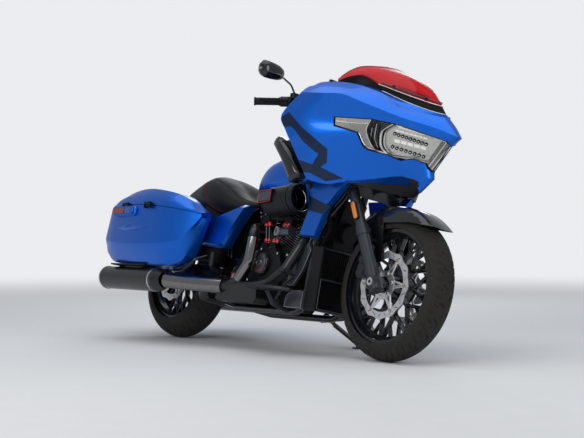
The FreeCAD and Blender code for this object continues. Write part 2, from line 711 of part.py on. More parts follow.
def frame():
    """Head tube, backbone, twin cradle tubes, pivot plates, seat rails and the stand's bracket."""
    head = rod(steering_point(HEAD_LOW), steering_point(HEAD_HIGH), HEAD_RADIUS)
    cradle = pipe([Vector(1334, -20, 852), Vector(1262, -58, 700), Vector(1204, -100, 590),
                   Vector(1168, -RAIL_OFFSET, 490), Vector(1168, -RAIL_OFFSET, RAIL_HEIGHT),
                   Vector(640, -RAIL_OFFSET, RAIL_HEIGHT), Vector(470, -72, 196), Vector(470, -72, 430),
                   Vector(452, -96, 600)], TUBE_RADIUS, 75)
    neck = rod(steering_point(HEAD_HIGH - 60), Vector(1334, -20, 852), TUBE_RADIUS)
    cross = [rod(Vector(452, -108, 594), Vector(452, 108, 594), TUBE_RADIUS),
             rod(Vector(1168, -RAIL_OFFSET, 205), Vector(1168, RAIL_OFFSET, 205), TUBE_RADIUS),
             rod(Vector(470, -72, 215), Vector(470, 72, 215), TUBE_RADIUS - 2),
             rod(Vector(430, -164, 566), Vector(430, 164, 566), RAIL_RADIUS - 3)]
    pivot_plate = slab([(456, 262), (540, 270), (562, 300), (562, 372), (530, 404), (456, 430)], -90, -74)
    fender_stub = rod(Vector(56, -RAIL_SPREAD, 636), Vector(56, -FENDER_HALF, 636), RAIL_RADIUS - 3)
    right = [cradle, neck, seat_rail(), pivot_plate, fender_stub]
    whole = fused([head, backbone()] + cross + right + [mirrored(r) for r in right] + stand_bracket())
    whole = whole.cut(rod(steering_point(HEAD_LOW - 30), steering_point(HEAD_HIGH + 30),
                          STEM_RADIUS + RUNNING))
    return [whole.cut(rod(PIVOT - LEFT * 200, PIVOT + LEFT * 200, PIVOT_RADIUS + FIT))]


def swingarm():
    """Two box arms joined ahead of the wheel, with the axle blocks at the rear."""
    outline = [(-52, 308), (-52, 348), (20, 352), (300, 372), (470, 366), (530, 352), (530, 318),
               (470, 302),
               (300, 304), (20, 306)]
    arms = pair(slab(outline, -ARM_OUTER, -ARM_INNER))
    tie = block(Vector(388, -ARM_OUTER, 312), Vector(440, ARM_OUTER, 360))
    pivot = rod(PIVOT - LEFT * ARM_OUTER, PIVOT + LEFT * ARM_OUTER, PIVOT_RADIUS)
    whole = fused(arms + [tie, pivot])
    return [whole.cut(rod(REAR_AXLE - LEFT * 200, REAR_AXLE + LEFT * 200, AXLE_RADIUS + FIT))]


def rear_axle():
    """The hollow rear axle with a nut at each end and a spacer on each side of the hub."""
    reach = ARM_OUTER + 20
    pieces = [rod(REAR_AXLE - LEFT * reach, REAR_AXLE + LEFT * reach, AXLE_RADIUS)]
    for s in (-1, 1):
        pieces.append(rod(REAR_AXLE + LEFT * s * (ARM_OUTER + FIT),
                          REAR_AXLE + LEFT * s * (ARM_OUTER + 14), 21))
    inner = REAR_HUB_WIDTH / 2 + FIT
    pieces.append(rod(REAR_AXLE - LEFT * inner, REAR_AXLE - LEFT * (ARM_INNER - FIT), 18))
    pieces.append(rod(REAR_AXLE + LEFT * (PULLEY_OFFSET + 15 + FIT), REAR_AXLE + LEFT * (ARM_INNER - FIT),
                      18))
    bore = rod(REAR_AXLE - LEFT * 200, REAR_AXLE + LEFT * 200, AXLE_BORE)
    return [fused(pieces).cut(bore)]


def rear_shocks():
    """A shock absorber with an open coil on each side, pinned to the arm and the seat rail."""
    low, high = Vector(46, -SHOCK_OFFSET, 372), Vector(128, -SHOCK_OFFSET, 619)
    run = (high - low).normalize()
    parts = [rod(low, low + run * 120, 20), rod(low, high, 8), rod(high - run * 64, high, 24)]
    parts += [rod(p - LEFT * 13, p + LEFT * 13, 15) for p in (low, high)]
    parts += [rod(low + run * 34, low + run * 40, 27), rod(high - run * 36, high - run * 30, 27)]
    parts.append(rod(high, Vector(high.x, -RAIL_SPREAD - RAIL_RADIUS + 0.3, high.z), 8))
    lug = slab([(28, 352.5), (62, 354.8), (60, 386), (34, 386)], -SHOCK_OFFSET - 13, -ARM_INNER - 4)
    parts.append(lug)
    coil = Part.makeHelix(24, run.dot(high - low) - 78, 24)
    wire = Part.Wire(Part.makeCircle(4.5, Vector(24, 0, 0), Vector(0, 1, 0)))
    spring = Part.Wire(coil).makePipeShell([wire], True, True)
    spring.Placement = FreeCAD.Placement(low + run * 39, FreeCAD.Rotation(FLOOR_UP, run))
    whole = fused(parts + [spring])
    return pair(largest(whole.cut(built(swingarm)).cut(built(frame))))


def drive_belt():
    """The toothed belt's loop between the gearbox pulley and the wheel pulley."""
    front = Vector(566, 0, 339)
    rear = REAR_AXLE
    big, small = PULLEY_RADIUS + 2 * FIT, 48.0
    outer = belt_loop(rear, front, big + 5, small + 5)
    inner = belt_loop(rear, front, big, small)
    low, high = PULLEY_OFFSET - BELT_WIDTH / 2, PULLEY_OFFSET + BELT_WIDTH / 2
    solid = slab(outer, low, high)
    return [solid.cut(slab(inner, low - 1, high + 1))]


def belt_loop(rear, front, big, small):
    """The outline (x, z) of a belt round two pulleys."""
    run = front - rear
    tilt = math.atan2(run.z, run.x)
    wrap = math.acos((big - small) / run.Length)
    outline = []
    for k in range(25):
        angle = tilt + wrap + (2 * math.pi - 2 * wrap) * k / 24
        outline.append((rear.x + big * math.cos(angle), rear.z + big * math.sin(angle)))
    for k in range(13):
        angle = tilt - wrap + 2 * wrap * k / 12
        outline.append((front.x + small * math.cos(angle), front.z + small * math.sin(angle)))
    return outline


def caliper(disc_offset, centre, radius, angle):
    """A two-part caliper straddling a disc at an angle round the wheel."""
    pieces = []
    for low, high in ((disc_offset - 34, disc_offset - 5), (disc_offset + 5, disc_offset + 22)):
        outline = []
        for r, a in ((radius - 44, -15), (radius - 44, 15), (radius - 6, 20), (radius + 14, 14),
                     (radius + 18, 0),
                     (radius + 14, -14), (radius - 6, -20)):
            p = polar(centre, r, angle + a)
            outline.append((p.x, p.z))
        pieces.append(slab(outline, low, high))
    for a in (-12, 0, 12):
        p = polar(centre, radius + 9, angle + a)
        pieces.append(rod(p + LEFT * (disc_offset - 20), p + LEFT * (disc_offset + 18), 7))
    for a in (-7, 7):
        p = polar(centre, radius - 20, angle + a)
        pieces.append(rod(p + LEFT * (disc_offset - 37), p + LEFT * (disc_offset - 10), 14))
    return fused(pieces)


def rear_caliper():
    body_part = caliper(-REAR_DISC_OFFSET, REAR_AXLE, REAR_DISC_RADIUS, 60)
    bracket = slab([(20, 352.8), (70, 356.4), (92, 440), (40, 440)], -ARM_INNER - 4, -118)
    return [fused([body_part, bracket])]


# Engine


def leaned(shape, angle):
    """A copy of a cylinder drawn straight above the crankshaft, turned to its place in the V."""
    turned_copy = shape.copy()
    turned_copy.rotate(CRANK, LEFT, angle)
    return turned_copy


def clipped(half_x, half_y, low, high, corner):
    """A rectangular plate above the crankshaft with its corners cut off."""
    c = corner
    outline = [(half_x, half_y - c), (half_x - c, half_y), (c - half_x, half_y), (-half_x, half_y - c),
               (-half_x, c - half_y), (c - half_x, -half_y), (half_x - c, -half_y), (half_x, c - half_y)]
    return plate([(CRANK.x + x, CRANK.y + y) for x, y in outline], CRANK.z + low, CRANK.z + high)


def head_lug(side):
    """The boss on a head that the pushrod tubes run up to; side is 1 for the front head."""
    x = [CRANK.x - side * 48, CRANK.x + side * 18]
    low = Vector(min(x), -124, CRANK.z + 260)
    return leaned(block(low, Vector(max(x), -70, CRANK.z + 288)), side * CYLINDER_ANGLE)


def cylinders():
    """The finned barrels and heads, each with its pushrod boss."""
    pieces = [rod(CRANK + FLOOR_UP * BARREL_LOW, CRANK + FLOOR_UP * 240, BARREL_RADIUS)]
    for k in range(FIN_COUNT):
        low = BARREL_LOW + 8 + 11.0 * k
        pieces.append(clipped(FIN_RADIUS, FIN_RADIUS + 6, low, low + FIN_THICK, 26))
    pieces.append(clipped(FIN_RADIUS - 12, FIN_RADIUS + 2, 238, 318, 16))
    for k in range(6):
        low = 244 + 12.0 * k
        pieces.append(clipped(FIN_RADIUS, FIN_RADIUS + 14, low, low + FIN_THICK, 18))
    one = fused(pieces)
    return [fused([leaned(one, side * CYLINDER_ANGLE), head_lug(side)]) for side in (1, -1)]


def rocker_covers():
    """The stepped covers on both heads."""
    base = clipped(FIN_RADIUS - 2, FIN_RADIUS + 14, 318 + RUNNING, 336, 20)
    step = clipped(FIN_RADIUS - 8, FIN_RADIUS + 8, 336, 342, 20)
    top = clipped(FIN_RADIUS - 4, FIN_RADIUS + 12, 342, 358, 24)
    cap = clipped(FIN_RADIUS - 14, FIN_RADIUS + 2, 358, 370, 24)
    one = fused([base, step, top, cap])
    return [leaned(one, CYLINDER_ANGLE), leaned(one, -CYLINDER_ANGLE)]


def crankcase():
    """Crankcase, gearbox behind it, oil pan below and the timer cover on the right."""
    case = slab([(690, 250), (720, 214), (1000, 214), (1040, 262), (1040, 372), (1002, 452), (930, 480),
                 (802, 480), (722, 452), (690, 380)], -104, RAIL_OFFSET + TUBE_RADIUS + 1)
    gearbox = slab([(584, 262), (624, 222), (694, 222), (694, 440), (600, 430), (584, 400)], -104, 96)
    top = slab([(596, 400), (694, 420), (694, 470), (612, 462)], -70, 70)
    cover = bevelled([(604, 286), (618, 268), (680, 268), (680, 372), (618, 372), (604, 350)], -150, -104,
                     8, 0.9, 0.9)
    pan = slab([(640, 196), (700, 186), (980, 186), (1010, 216), (640, 226)], -92, 92)
    cam = slab([(742, 300), (790, 232), (930, 226), (992, 262), (1000, 352), (962, 440), (892, 470),
                (822, 462),
                (758, 404)], -150, -104)
    timer = Vector(852, 0, 384)
    rings = [rod(timer - LEFT * 150, timer - LEFT * 164, 58),
             rod(timer - LEFT * 164, timer - LEFT * 172, 47)]
    deck = [leaned(clipped(66, 76, 96, BARREL_LOW, 20), a) for a in (-CYLINDER_ANGLE, CYLINDER_ANGLE)]
    lifters = []
    for x in (-34, 34):
        lifters.append(slab([(CRANK.x + x - 26, 440), (CRANK.x + x + 26, 440),
                             (CRANK.x + x + 22, LIFTER_TOP),
                             (CRANK.x + x - 22, LIFTER_TOP)], -150, -100))
    button = rod(Vector(1004, -96, 430), Vector(1004, -128, 430), 15)
    pump = rod(Vector(1020, -96, 300), Vector(1020, -136, 300), 30)
    whole = fused([case, gearbox, top, cover, pan, cam] + rings + deck + lifters + [button, pump])
    barrels = [leaned(clipped(FIN_RADIUS + 2, FIN_RADIUS + 8, BARREL_LOW, 400, 26), a)
               for a in (-CYLINDER_ANGLE, CYLINDER_ANGLE)]
    return [whole.cut(fused(barrels))]


def primary_cover():
    """The long chain cover on the left, with its round derby and inspection covers."""
    outline = []
    for x, radius, first, last in ((CRANK.x, 104, -80, 80), (658, 98, 100, 260)):
        for k in range(13):
            angle = math.radians(first + (last - first) * k / 12)
            outline.append((x + radius * math.cos(angle), CRANK.z - 6 + radius * math.sin(angle)))
    low = RAIL_OFFSET + TUBE_RADIUS + 1
    cover = slab(outline, low, 192)
    inset = [(0.94 * (x - 760) + 760, 0.9 * (z - CRANK.z) + CRANK.z) for x, z in outline]
    face = slab(inset, 192, 204)
    derby = Vector(658, 0, CRANK.z - 6)
    discs = [rod(derby + LEFT * 204, derby + LEFT * 213, 70),
             rod(derby + LEFT * 213, derby + LEFT * 216, 58)]
    window = slab([(806, 318), (886, 318), (886, 358), (806, 358)], 204, 210)
    return [fused([cover, face, window] + discs)]


def pushrods():
    """Pushrod tubes with their collars, two to a cylinder, from the lifter blocks to the heads."""
    tubes = []
    for side in (-1, 1):
        for k in (0, 1):
            foot = Vector(CRANK.x + side * (22 + 24 * k), -128, LIFTER_TOP + 12)
            head = Vector(CRANK.x + side * (72 + 26 * k), -106, LIFTER_TOP + 112)
            run = (head - foot).normalize()
            tube = fused([rod(foot, head, 8.5), rod(foot - FLOOR_UP * 12, foot + FLOOR_UP * 5, 12),
                          rod(head - run * 34, head, 11.5)])
            tubes.append(tube.cut(head_lug(side)))
    return tubes


def air_intake():
    """A forward-facing horn on the right: a hollow mouth, a rounded rear and a blank badge plate."""
    mouth = Vector(1146, -214, 680)
    rear = Vector(892, -206, 664)
    run = (rear - mouth).normalize()
    length = (rear - mouth).Length
    stations = [(0, 66), (10, 70), (22, 70), (28, 67), (46, 66), (60, 69), (length - 60, 70),
                (length - 26, 64),
                (length - 8, 48), (length, 32)]
    pieces = []
    for (a, ra), (b, rb) in zip(stations, stations[1:]):
        if abs(ra - rb) > 0.1:
            pieces.append(cone(mouth + run * a, mouth + run * b, ra, rb))
        else:
            pieces.append(rod(mouth + run * a, mouth + run * b, ra))
    neck = rod(Vector(868, -96, 646), Vector(912, -206, 664), 34)
    carrier = block(Vector(800, -112, 604), Vector(932, -40, 676))
    badge = slab([(916, 642), (1012, 650), (1012, 712), (916, 706)], -288, -240)
    whole = fused(pieces + [neck, carrier, badge])
    throat = [rod(mouth - run * 2, mouth + run * 34, 56), cone(mouth + run * 34, mouth + run * 150, 56, 46)]
    filter_cone = cone(mouth + run * 62, mouth + run * 152, 18, 40)
    hollow = fused([whole.cut(fused(throat)), filter_cone])
    return [largest(hollow.cut(built(cylinders)).cut(built(rocker_covers)))]


def rear_header(radius):
    return pipe([Vector(726, -88, 566), Vector(742, -150, 556), Vector(806, -196, 530),
                 Vector(817, -202, 470),
                 Vector(812, -203, 380), Vector(748, -205, 290), Vector(680, -212, 258)], radius, 55)


def front_header(radius):
    return pipe([Vector(1040, -40, 575), Vector(1098, -96, 552), Vector(1124, -146, 486),
                 Vector(1080, -186, 352),
                 Vector(1004, -208, 282), Vector(880, -208, 262), Vector(700, -208, 257),
                 Vector(560, -262, 254),
                 Vector(430, -294, 254), Vector(MUFFLER_FRONT, -MUFFLER_OFFSET, MUFFLER_HEIGHT)], radius,
                70)


def exhaust_headers():
    """Both header pipes, the collector under the engine and the cross pipe to the left muffler."""
    link = pipe([Vector(560, -262, 250), Vector(450, -190, 206), Vector(412, 0, 200), Vector(412, 180, 212),
                 Vector(370, 300, 244), Vector(MUFFLER_FRONT, MUFFLER_OFFSET, MUFFLER_HEIGHT)],
                PIPE_RADIUS - 2, 70)
    collector = slab([(620, 196), (640, 186), (930, 186), (950, 208), (940, 262), (640, 270)], -232, -152)
    whole = fused([front_header(PIPE_RADIUS), rear_header(PIPE_RADIUS), link, collector])
    return [largest(whole.cut(built(cylinders)).cut(built(mufflers)))]


def heat_shields():
    """Shields wrapped round the right pipes."""
    routes = (([Vector(660, -222, 257), Vector(560, -262, 254), Vector(430, -294, 254),
                Vector(312, -327, 256)], 37),
              ([Vector(817, -202, 500), Vector(817, -202, 470), Vector(812, -203, 380),
                Vector(752, -205, 295)], SHIELD_RADIUS))
    shields = []
    for route, radius in routes:
        outer = pipe(route, radius, 60)
        shields.append(largest(outer.cut(built(exhaust_headers)).cut(built(mufflers))))
    return shields


def muffler():
    """One muffler: a domed rear cap with an outlet, a long body, two bright bands and a front cone."""
    length = MUFFLER_FRONT - MUFFLER_REAR
    profile = [(0, 40), (6, 52), (14, 58), (15, MUFFLER_RADIUS), (22, MUFFLER_RADIUS), (23, 60), (506, 60),
               (507, MUFFLER_RADIUS + 0.5), (516, MUFFLER_RADIUS + 0.5), (517, 60), (540, 58), (length, 40)]
    points = [Vector(MUFFLER_REAR + a, -MUFFLER_OFFSET, MUFFLER_HEIGHT + r) for a, r in profile]
    for a, r in ((length, 0), (60, 0), (60, 34), (4, 36)):
        points.append(Vector(MUFFLER_REAR + a, -MUFFLER_OFFSET, MUFFLER_HEIGHT + r))
    centre = Vector(0, -MUFFLER_OFFSET, MUFFLER_HEIGHT)
    return Part.Face(Part.makePolygon(points + points[:1])).revolve(centre, FORWARD, 360)


def mufflers():
    return pair(muffler())


# Bodywork


def tank():
    """The fuel tank, saddled over the backbone and the fronts of the seat rails."""
    table = (
        # x, half width, low, high, roundness
        (606, 56, 726, 752, 2.2),
        (632, 88, 718, 800, 2.4),
        (680, 118, 716, 868, 2.5),
        (760, 142, 716, 912, 2.6),
        (860, 152, 716, 934, 2.6),
        (960, 152, 716, 942, 2.6),
        (1060, 146, 718, 938, 2.5),
        (1130, 132, 726, 920, 2.4),
        (1184, 104, 742, 894, 2.3),
        (1216, 60, 776, 858, 2.1))
    rings = [arch(x, w, low, high, power, 28) for x, w, low, high, power in table]
    solid = body(smooth_rings(rings, 3))
    floor = block(Vector(500, -BACKBONE_RADIUS - 3, 600), Vector(1300, BACKBONE_RADIUS + 3, 772))
    rails = [seat_rail(2), mirrored(seat_rail(2))]
    return [solid.cut(fused([backbone(3), floor] + rails)).cut(built(fuel_cap))]


def fuel_cap():
    foot = Vector(872, 66, 916)
    up = Vector(0, 0.24, 1).normalize()
    return [fused([rod(foot, foot + up * 10, 40), rod(foot + up * 10, foot + up * 14, 33)])]


def seat():
    """Rider's bucket with its raised back, and the passenger's pad behind."""
    table = (
        # x, half width, low, high, roundness, hollow
        (-14, 66, 716, 738, 2.3, 0),
        (20, 98, 706, 776, 2.5, 0),
        (90, 122, 702, 796, 2.5, 0),
        (160, 140, 690, 822, 2.4, 0),
        (220, 156, 672, 846, 2.3, 0),
        (284, 168, 652, 860, 2.3, 6),
        (344, 176, 634, 850, 2.4, 22),
        (410, 178, 622, 828, 2.5, 40),
        (470, 168, 622, 790, 2.5, 44),
        (536, 146, 632, 744, 2.5, 30),
        (596, 116, 654, 718, 2.4, 6),
        (644, 84, 676, 710, 2.4, 0),
        (680, 50, 692, 706, 2.2, 0))
    rings = [arch(x, w, low, high, power, 28, hollow) for x, w, low, high, power, hollow in table]
    solid = body(smooth_rings(rings, 3))
    tubes = [backbone(1), seat_rail(1), mirrored(seat_rail(1)),
             rod(Vector(452, -110, 594), Vector(452, 110, 594), 18)]
    return [largest(solid.cut(fused(tubes)))]


def bevelled(outline, low, high, bevel, inset_x, inset_z):
    """A panel with bevelled edges: its outer face is the outline drawn in towards its middle."""
    cx = sum(x for x, _ in outline) / len(outline)
    cz = sum(z for _, z in outline) / len(outline)
    face = [(cx + (x - cx) * inset_x, cz + (z - cz) * inset_z) for x, z in outline]
    wires = []
    for ring, y in ((outline, high), (outline, low + bevel), (face, low)):
        points = [Vector(x, y, z) for x, z in ring]
        wires.append(Part.makePolygon(points + points[:1]))
    return Part.makeLoft(wires, True, True)


def side_covers():
    """The painted covers under the seat."""
    outline = [(322, 468), (352, 590), (520, 612), (700, 660), (742, 656), (664, 560), (590, 452),
               (540, 445)]
    right = bevelled(outline, -226, -164, 22, 0.93, 0.86)
    return pair(right)


def battery_box():
    """The black boxes below the painted covers."""
    right = bevelled([(338, 384), (340, 466.1), (536, 445.4), (516, 384)], -198, -164, 12, 0.95, 0.9)
    return pair(right)


def rear_fender():
    """The rear fender, of constant section about a centre behind the axle, with its tail lamp."""
    centre = Vector(FENDER_CENTRE, 0, REAR_RADIUS)
    inner, half = FENDER_RADIUS, FENDER_HALF
    outside = [(-half, inner - 150), (-half, inner - 46), (-half + 16, inner - 16), (-half + 48, inner),
               (half - 48, inner), (half - 16, inner - 16), (half, inner - 46), (half, inner - 150)]
    inside = [(-half + SKIN, inner - 150), (-half + SKIN, inner - 46), (-half + 18, inner - 18),
              (-half + 49, inner - SKIN), (half - 49, inner - SKIN), (half - 18, inner - 18),
              (half - SKIN, inner - 46), (half - SKIN, inner - 150)]
    ring = [centre + Vector(0, y, r) for y, r in outside + inside[::-1]]
    face = Part.Face(Part.makePolygon(ring + ring[:1]))
    face.rotate(centre, LEFT, 42)
    shell = face.revolve(centre, LEFT, -140)
    clear = [slab([(-300, 200), (330, 200), (330, 520), (60, 500), (-40, 480), (-150, 470), (-300, 440)],
                  -200, 200)]
    return [shell.cut(fused(clear))]


def fender_form(extra=0.0):
    """The cylinder that the rear fender's crown follows."""
    centre = Vector(FENDER_CENTRE, 0, REAR_RADIUS)
    return rod(centre - LEFT * 90, centre + LEFT * 90, FENDER_RADIUS + extra)


def tail_lamps():
    """The tail lamp on the fender with an indicator on each side."""
    lamp = slab([(-452, 494), (-456, 540), (-440, 556), (-340, 560), (-360, 494)], -54, 54)
    lamp = lamp.cut(fender_form(0.2))
    stalk = rod(Vector(-430, -146, 520), Vector(-430, 146, 520), 9)
    pods = [rod(Vector(-458, s * 150, 520), Vector(-420, s * 150, 520), 28) for s in (-1, 1)]
    return [fused([lamp, stalk] + pods)]


def plate_holder():
    holder = slab([(-462, 334), (-462, 470), (-456, 474), (-380, 474), (-380, 334)], -88, 88)
    return [holder.cut(fender_form(0.2))]


BAG_TABLE = (
    # x, outer, outer at the crease, outer at the bottom, inner, seam, crease, bottom
    (-296, 352, 362, 348, 262, 608, 470, 404),
    (-272, 382, 390, 366, 244, 613, 458, 366),
    (-180, 402, 410, 378, 232, 621, 440, 336),
    (-40, 412, 420, 386, 230, 628, 425, 330),
    (100, 414, 422, 388, 230, 629, 425, 327),
    (266, 402, 410, 376, 230, 619, 430, 326),
    (350, 384, 392, 358, 232, 612, 440, 336),
    (410, 366, 372, 340, 238, 606, 452, 368),
    (460, 346, 350, 324, 246, 600, 500, 460),
    (512, 320, 322, 306, 260, 592, 574, 562))
LID_TABLE = (
    # rise of the shoulder, rise of the top
    (12, 20),
    (26, 42),
    (46, 74),
    (56, 92),
    (58, 94),
    (52, 84),
    (42, 70),
    (32, 54),
    (20, 34),
    (8, 14))
BAG_WALL = 4.0
BAG_INNER = 230.0
BAG_STAY = 8.0
LID_HINGE = Vector(0, 424.0, 636.0)
SEAM_GAP = 3.0
HINGES = (-60.0, 160.0)
HINGE_PIN = 4.0


def smooth_rings(rings, parts):
    """Rings of points made into more rings along smooth curves."""
    return [list(r) for r in zip(*[refined(list(c), parts) for c in zip(*rings)])]


def bag_ring(row, inset):
    """One section of the bag's body from its inner rim down and round to its outer rim."""
    x, outer, crease_out, low_out, inner, seam, crease, low = row
    i = inset
    return [Vector(x, -(inner + i), seam), Vector(x, -(inner + i), low + 22 + i * 0.6),
            Vector(x, -(inner + i + 10), low + i), Vector(x, -(low_out - 24 - i), low + i),
            Vector(x, -(low_out - i), low + 26 + i * 0.6), Vector(x, -(crease_out - i), crease),
            Vector(x, -(outer - i), seam - 14), Vector(x, -(outer - i), seam)]


def lid_ring(row, rise, inset):
    """One section of a lid from its inner rim up and over to its outer rim."""
    x, outer, _, _, inner, seam, _, _ = row
    shoulder, top = rise
    i = inset
    low = seam + SEAM_GAP
    return [Vector(x, -(inner + i), low), Vector(x, -(inner + i), low + 0.4 * top),
            Vector(x, -(inner + 6 + i), low + 0.7 * top - i * 0.5),
            Vector(x, -(inner + 34 + i * 0.5), low + top - i),
            Vector(x, -(outer - 52 - i * 0.5), low + top - i),
            Vector(x, -(outer - 16 - i), low + shoulder - i * 0.5),
            Vector(x, -(outer - 2 - i), low + 4 + 0.3 * shoulder), Vector(x, -(outer - i), low)]


def walled(rings_of):
    """Outer and inner rings of a shell, the inner ones drawn in at both ends."""
    outer = [rings_of(row, rise, 0) for row, rise in zip(BAG_TABLE, LID_TABLE)]
    rows = [list(row) for row in BAG_TABLE]
    rows[0][0] += BAG_WALL
    rows[-1][0] -= BAG_WALL
    inner = [rings_of(row, rise, BAG_WALL) for row, rise in zip(rows, LID_TABLE)]
    return tub(smooth_rings(outer, 3), smooth_rings(inner, 3))


def hinge_line(low, high):
    """A stretch of the right lid's hinge axis."""
    return Vector(low, -LID_HINGE.y, LID_HINGE.z), Vector(high, -LID_HINGE.y, LID_HINGE.z)


def saddlebag():
    """The right bag's hollow body, open at the seam, with two hinge pins on its outer side."""
    shell = walled(lambda row, rise, inset: bag_ring(row, inset))
    pins = []
    for x in HINGES:
        pieces = [rod(*hinge_line(x - 28, x + 28), HINGE_PIN)]
        for end in (x - 28, x + 22):
            pieces.append(block(Vector(end, -LID_HINGE.y - 6, LID_HINGE.z - 26),
                                Vector(end + 6, -406, LID_HINGE.z - 12)))
            pieces.append(block(Vector(end, -LID_HINGE.y - 6, LID_HINGE.z - 26),
                                Vector(end + 6, -LID_HINGE.y + 5, LID_HINGE.z + 5)))
        pins.append(largest(fused(pieces).cut(shell)))
    return [shell] + pins


def bag_lid():
    """The right bag's hollow lid with the sleeves that turn on the bag's pins."""
    shell = walled(lid_ring)
    sleeves = []
    for x in HINGES:
        low, high = hinge_line(x - 20, x + 20)
        arm = block(Vector(x - 20, -LID_HINGE.y + 1, LID_HINGE.z - 3),
                    Vector(x + 20, -407, LID_HINGE.z + 5))
        bore = rod(*hinge_line(x - 22, x + 22), HINGE_PIN + 0.5)
        sleeves.append(largest(fused([rod(low, high, HINGE_PIN + 4), arm]).cut(bore).cut(shell)))
    return [shell] + sleeves


def bag_brackets():
    """The guard rail under each bag and the stay that hangs it from the seat rail."""
    wall = BAG_INNER - BAG_STAY - FIT
    rail = pipe([Vector(200, -RAIL_SPREAD - 6, 604), Vector(200, -wall, 560), Vector(200, -wall, 316),
                 Vector(252, -262, 316), Vector(380, -282, 322), Vector(440, -262, 380),
                 Vector(456, -210, 404)],
                BAG_STAY, 36)
    return pair(largest(rail.cut(seat_rail()).cut(built(battery_box))))


FAIRING_LEVELS = (
    # Each row runs from the rear edge to the nose: x, half width, height
    ((1254, 290, 746), (1361, 260, 727), (1452, 198, 752), (1538, 137, 772), (1622, 77, 794),
     (1656, 48, 788),
     (1680, 25, 770), (1690, 0, 733)),
    ((1256, 292, 752), (1362, 262, 734), (1453, 200, 758), (1540, 138, 778), (1630, 76, 801),
     (1680, 44, 800),
     (1724, 22, 798), (1764, 0, 792)),
    ((1226, 366, 872), (1330, 345, 876), (1407, 300, 874), (1511, 215, 864), (1592, 140, 860),
     (1650, 96, 862),
     (1715, 44, 864), (1742, 0, 848)),
    ((1186, 396, 950), (1320, 366, 942), (1425, 314, 940), (1510, 258, 935), (1600, 190, 925),
     (1680, 128, 915),
     (1756, 60, 908), (1800, 0, 905)),
    ((1156, 408, 1020), (1310, 382, 1012), (1431, 320, 1004), (1510, 272, 1003), (1600, 212, 1000),
     (1690, 148, 985),
     (1788, 64, 956), (1850, 0, 944)),
    ((1246, 386, 1122), (1392, 382, 1104), (1481, 346, 1101), (1540, 298, 1080), (1601, 244, 1057),
     (1690, 164, 1025),
     (1790, 76, 1000), (1885, 0, 964)),
    ((1268, 342, 1166), (1329, 332, 1176), (1407, 288, 1179), (1479, 243, 1168), (1573, 183, 1135),
     (1642, 143, 1088),
     (1728, 76, 1066), (1799, 0, 1056)))
CHIN_EDGE = ((1452, 186, 742), (1508, 152, 732), (1556, 104, 724), (1594, 62, 718), (1626, 30, 714),
             (1648, 0, 712))
SCREEN_FOOT = ((1304, 226, 1184), (1352, 216, 1194), (1420, 192, 1192), (1500, 158, 1170),
               (1584, 118, 1134),
               (1658, 80, 1104), (1730, 40, 1080), (1784, 0, 1068))
SCREEN_MIDDLE = ((1297, 230, 1208), (1352, 214, 1234), (1418, 194, 1248), (1476, 158, 1254),
                 (1536, 116, 1244),
                 (1592, 72, 1230), (1632, 34, 1216), (1656, 0, 1204))
SCREEN_TOP = ((1294, 230, 1224), (1336, 208, 1262), (1376, 180, 1286), (1402, 130, 1300), (1420, 80, 1310),
              (1428, 40, 1315), (1431, 16, 1317), (1432, 0, 1317))
DECK_REAR = ((1286, 210, 1168), (1312, 186, 1166), (1332, 150, 1162), (DASH + 5, 112, 1158),
             (DASH + 5, 78, 1156),
             (DASH + 5, 48, 1154), (DASH + 5, 22, 1153), (DASH + 5, 0, 1153))


def drawn_in(level, inward, lift=0.0):
    """A level moved towards the fairing's inside, and up."""
    return tuple((x - inward, w - inward if w else 0, z + lift) for x, w, z in level)


def fairing_grid(levels):
    """Rows of points from the right rear edge round the nose to the left rear edge."""
    columns = []
    for level in levels:
        right = [Vector(x, -w, z) for x, w, z in level]
        left = [Vector(x, w, z) for x, w, z in level[-2::-1]]
        columns.append(refined(right + left, 4))
    return [list(row) for row in zip(*columns)]


def window_cutter():
    """A prism through the right cheek that opens the headlamp window, and its twin."""
    near = [(1449, -336, 998), (1587, -244, 998), (1683, -168, 993), (1809, -44, 951), (1800, -14, 917),
            (1760, -14, 846), (1739, -28, 863), (1697, -68, 877), (1640, -100, 864), (1592, -144, 864),
            (1529, -204, 893), (1498, -272, 958), (1430, -328, 957)]
    look = Vector(0.72, -0.68, 0.0).normalize()
    centre = Vector(1620, -170, 930)
    wires = []
    for offset in (90, -70):
        ring = []
        for x, y, z in near:
            p = Vector(x, y, z)
            ring.append(p + look * (offset - (p - centre).dot(look)))
        wires.append(Part.makePolygon(ring + ring[:1]))
    return Part.makeLoft(wires, True, True)


def fairing_skin():
    """The outer skin before its window is cut."""
    return [sheet(fairing_grid(FAIRING_LEVELS), -SKIN)]


def largest(shape):
    """The biggest solid of a cut piece, without the slivers."""
    return max(shape.Solids, key=lambda solid: solid.Volume)


def fairing():
    """The outer fairing: a thin shell round the nose with a window for the headlamps."""
    return [fairing_skin()[0].cut(Part.makeCompound(pair(window_cutter())))]


def headlamp():
    """The lamp unit: a curved housing behind the window, seated on the shell above and below it."""
    levels = FAIRING_LEVELS
    low, middle, high = levels[2][2:], levels[3][2:], levels[4][2:]
    rows = (drawn_in(low, 2.8), drawn_in(low, 26, 14), drawn_in(middle, 22), drawn_in(high, 24, -10),
            drawn_in(high, 2.8, 8))
    return [largest(sheet(fairing_grid(rows), -4.0).cut(built(fairing_skin)))]


def windscreen():
    """The short tinted screen, standing on the deck."""
    rows = (drawn_in(SCREEN_FOOT, 0, 0.5), SCREEN_MIDDLE, SCREEN_TOP)
    return [largest(sheet(fairing_grid(rows), -4.0).cut(built(fairing_deck)))]


